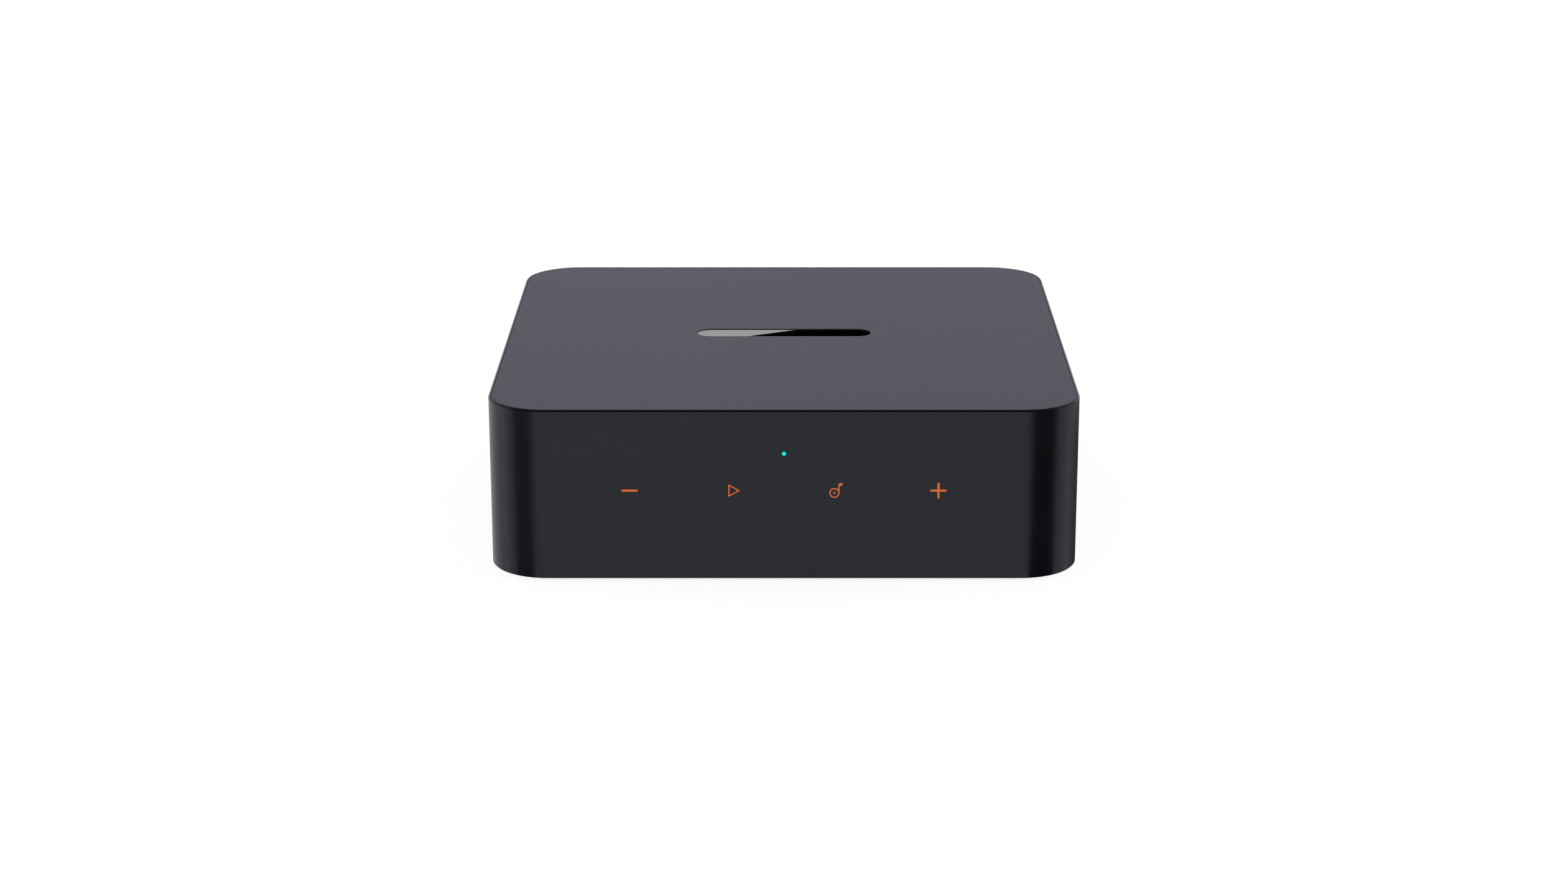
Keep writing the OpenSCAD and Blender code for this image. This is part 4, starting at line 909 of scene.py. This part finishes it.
def matt(tree, tone):
    """A matt grey."""
    made = tree.nodes.new("ShaderNodeBsdfDiffuse")
    made.inputs["Color"].default_value = (*grey(tone), 1)
    return made.outputs["BSDF"]


def either(tree, amount, first, second):
    """The first shader where the amount is 0, and the second where it is 1."""
    made = tree.nodes.new("ShaderNodeMixShader")
    tree.links.new(amount, made.inputs["Fac"])
    tree.links.new(first, made.inputs[1])
    tree.links.new(second, made.inputs[2])
    return made.outputs["Shader"]


def plain_light(name, colour):
    """A stage material that gives off one even tone."""
    made, tree = stage_finish(name)
    glow = tree.nodes.new("ShaderNodeEmission")
    glow.inputs["Color"].default_value = (*colour, 1)
    show(tree, glow.outputs["Emission"])
    return made


def floor_finish():
    """A pale floor: white for what looks at it, with the object's faint shadow, and open from below."""
    made, tree = stage_finish("floor_pale")
    new, link = tree.nodes.new, tree.links.new
    path = new("ShaderNodeLightPath").outputs
    looks = larger(tree, path["Is Camera Ray"], path["Is Glossy Ray"])
    looks = larger(tree, looks, path["Is Transmission Ray"])
    white = new("ShaderNodeEmission")
    away = length_of(tree, new("ShaderNodeTexCoord").outputs["Object"])
    spread(tree, away, FLOOR_NEAR, FLOOR_FAR, FLOOR_NEAR_LIGHT, FLOOR_FAR_LIGHT, white.inputs["Strength"])
    seen = new("ShaderNodeAddShader")
    link(white.outputs["Emission"], seen.inputs[0])
    link(matt(tree, FLOOR_SHADOW_TONE), seen.inputs[1])
    above = either(tree, looks, matt(tree, FLOOR_BOUNCE_TONE), seen.outputs["Shader"])
    clear = new("ShaderNodeBsdfTransparent").outputs["BSDF"]
    from_below = new("ShaderNodeNewGeometry").outputs["Backfacing"]
    show(tree, either(tree, from_below, above, clear))
    return made


def stage_mesh(name, bm, finish):
    """A piece of the studio from a finished mesh."""
    mesh = bpy.data.meshes.new(name)
    bm.to_mesh(mesh)
    bm.free()
    mesh.materials.append(finish)
    sheet = bpy.data.objects.new(name, mesh)
    scene.collection.objects.link(sheet)
    return sheet


def stage_sheet(name, points, finish):
    """A flat piece of the studio through the given corners."""
    bm = bmesh.new()
    bm.faces.new([bm.verts.new(p) for p in points])
    return stage_mesh(name, bm, finish)


def only_in_reflections(sheet):
    """Hides a sheet from all but mirrored sight."""
    sheet.visible_camera = False
    sheet.visible_diffuse = False
    sheet.visible_transmission = False
    sheet.visible_shadow = False


def corner_flag(name, side, start, end, tone, reach=FLAG_REACH, rise=0):
    """A card on the floor, bent up at its far end, that the camera sees mirrored in a front corner,
    between two turns of the corner's face away from the front."""
    centre_x = side * (housing_high.x - CORNER_R)
    centre = Vector((centre_x, CORNER_R - housing_high.y, FLAG_LIFT - FLOOR_GAP))
    bm = bmesh.new()
    rows = []
    for step in range(FLAG_STEPS + 1):
        turn = math.radians(start + (end - start) * step / FLAG_STEPS)
        mirrored = 2 * turn + math.radians(CORNER_VIEW)
        foot = centre + CORNER_R * Vector((side * math.sin(turn), -math.cos(turn), 0))
        fold = foot + reach * Vector((side * math.sin(mirrored), -math.cos(mirrored), 0))
        rows.append([bm.verts.new(p) for p in (foot, fold, fold + Vector((0, 0, rise)))])
    for a, b in zip(rows, rows[1:]):
        bm.faces.new((a[0], a[1], b[1], b[0]))
        if rise:
            bm.faces.new((a[1], a[2], b[2], b[1]))
    only_in_reflections(stage_mesh(name, bm, plain_light(name, grey(tone, FLAG_BLUE))))


def painted_shade_band():
    """A black band on the floor under the lower edge of the housing: painted shade, mirrored in its
    chamfer in place of the contact shadow there.
    """
    height = SHADE_BAND_LIFT - FLOOR_GAP
    bm = bmesh.new()
    around = outline(housing_high.x, housing_high.y, CORNER_R, CORNER_STEPS)
    bridge(bm, loops_along(bm, around, [(-SHADE_BAND_OUT, height), (SHADE_BAND_IN, height)]))
    only_in_reflections(stage_mesh("painted_shade_under", bm, plain_light("painted_shade_under", grey(0.0))))


def floor_and_flags():
    """The floor, the flags that give the corners their bands, and the painted shade under the lower edge.
    """
    corners = [(sx * FLOOR_HALF, sy * FLOOR_HALF, -FLOOR_GAP) for sx, sy in QUARTERS]
    floor = stage_sheet("floor", corners, floor_finish())
    floor.visible_shadow = False
    corner_flag("flag_left", LEFT, start=12.5, end=32, tone=0.15, rise=FLAG_RISE)
    corner_flag("flag_left_side", LEFT, start=32, end=40, tone=0.75)
    corner_flag("flag_left_rear", LEFT, start=48, end=86, tone=0.74, reach=REAR_REACH)
    corner_flag("flag_right", RIGHT, start=8, end=34, tone=0.0, rise=FLAG_RISE)
    corner_flag("flag_right_side", RIGHT, start=34, end=56, tone=0.7)
    corner_flag("flag_right_rear", RIGHT, start=56, end=64, tone=0.3, reach=REAR_REACH)
    corner_flag("flag_right_edge", RIGHT, start=64, end=86, tone=0.09, reach=REAR_REACH)
    # painted shade under the lower edge, for its chamfer to mirror
    painted_shade_band()


def inlay_cards():
    """Two cards far behind, one bright and one dark, for the polished inlay to mirror."""
    low, high = CARD_Z - CARD_HALF_H, CARD_Z + CARD_HALF_H
    low_x = CARD_MEET_X - CARD_LEAN * CARD_HALF_H
    high_x = CARD_MEET_X + CARD_LEAN * CARD_HALF_H
    bright = [(-CARD_HALF_W, low), (low_x, low), (high_x, high), (-CARD_HALF_W, high)]
    dark = [(low_x, low), (CARD_HALF_W, low), (CARD_HALF_W, high), (high_x, high)]
    for name, corners, tone in (("card_bright", bright, CARD_BRIGHT), ("card_dark", dark, CARD_DARK)):
        points = [(x, CARD_Y, z) for x, z in corners]
        only_in_reflections(stage_sheet(name, points, plain_light(name, grey(tone))))


def studio_world():
    """White where the camera sees past the floor. Otherwise a band, cool near the horizon and neutral
    above it, and a dark ceiling."""
    world = bpy.data.worlds.new("studio")
    scene.world = world
    world.use_nodes = True
    tree = world.node_tree
    tree.nodes.clear()
    new, link = tree.nodes.new, tree.links.new
    parts = new("ShaderNodeSeparateXYZ")
    link(new("ShaderNodeTexCoord").outputs["Generated"], parts.inputs["Vector"])
    ramp = new("ShaderNodeValToRGB")
    stops = ramp.color_ramp.elements
    stops[1].position, stops[1].color = WORLD_CEILING
    stops[0].position, stops[0].color = WORLD_HORIZON
    for height, colour in (WORLD_MIDDLE, WORLD_UPPER):
        stops.new(height).color = colour
    link(parts.outputs["Z"], ramp.inputs["Fac"])
    band = new("ShaderNodeBackground")
    link(ramp.outputs["Color"], band.inputs["Color"])
    white = new("ShaderNodeBackground")
    white.inputs["Color"].default_value = (1, 1, 1, 1)
    seen = new("ShaderNodeLightPath").outputs["Is Camera Ray"]
    out = new("ShaderNodeOutputWorld")
    sky = either(tree, seen, band.outputs["Background"], white.outputs["Background"])
    link(sky, out.inputs["Surface"])


def soft_lamp(name, way, distance, width, height, watts):
    """A large soft lamp that looks at the middle of the object and leaves no glint of its own."""
    lamp = bpy.data.lights.new(name, "AREA")
    lamp.shape = "RECTANGLE"
    lamp.size = width
    lamp.size_y = height
    lamp.energy = watts
    obj = bpy.data.objects.new(name, lamp)
    obj.location = Vector(way).normalized() * distance
    obj.rotation_mode = "QUATERNION"
    obj.rotation_quaternion = (-Vector(way)).to_track_quat("-Z", "Y")
    obj.visible_glossy = False
    obj.visible_camera = False
    scene.collection.objects.link(obj)


def lamps():
    """Four lamps round the object and one under it."""
    rise = math.tan(math.radians(LAMP_RISE))
    for name, x, y in (("front", 0, -1), ("right", 1, 0), ("rear", 0, 1), ("left", -1, 0)):
        soft_lamp("lamp_" + name, (x, y, rise), LAMP_FAR, LAMP_W, LAMP_H, LAMP_WATTS)
    soft_lamp("lamp_under", UNDER_LAMP_WAY, UNDER_LAMP_FAR, UNDER_LAMP_SIDE, UNDER_LAMP_SIDE,
              UNDER_LAMP_WATTS)


def camera():
    """The photograph's camera."""
    data = bpy.data.cameras.new("camera")
    data.sensor_width = CAMERA_SENSOR
    data.lens = CAMERA_LENS
    data.clip_start = CAMERA_FROM
    data.clip_end = CAMERA_TO
    obj = bpy.data.objects.new("camera", data)
    obj.location = CAMERA_PLACE
    obj.rotation_euler = (math.radians(90 - CAMERA_DOWN), 0, 0)
    scene.collection.objects.link(obj)
    scene.camera = obj


scene.view_settings.view_transform = "Standard"
carried_over_parts()
camera()
studio_world()
lamps()
floor_and_flags()
inlay_cards()
housing_shell()
top_plate()
inlay()
minus_mark()
play_mark()
note_mark()
plus_mark()
status_lens()
leaf_spring("optical_out_spring")
leaf_spring("optical_in_spring")
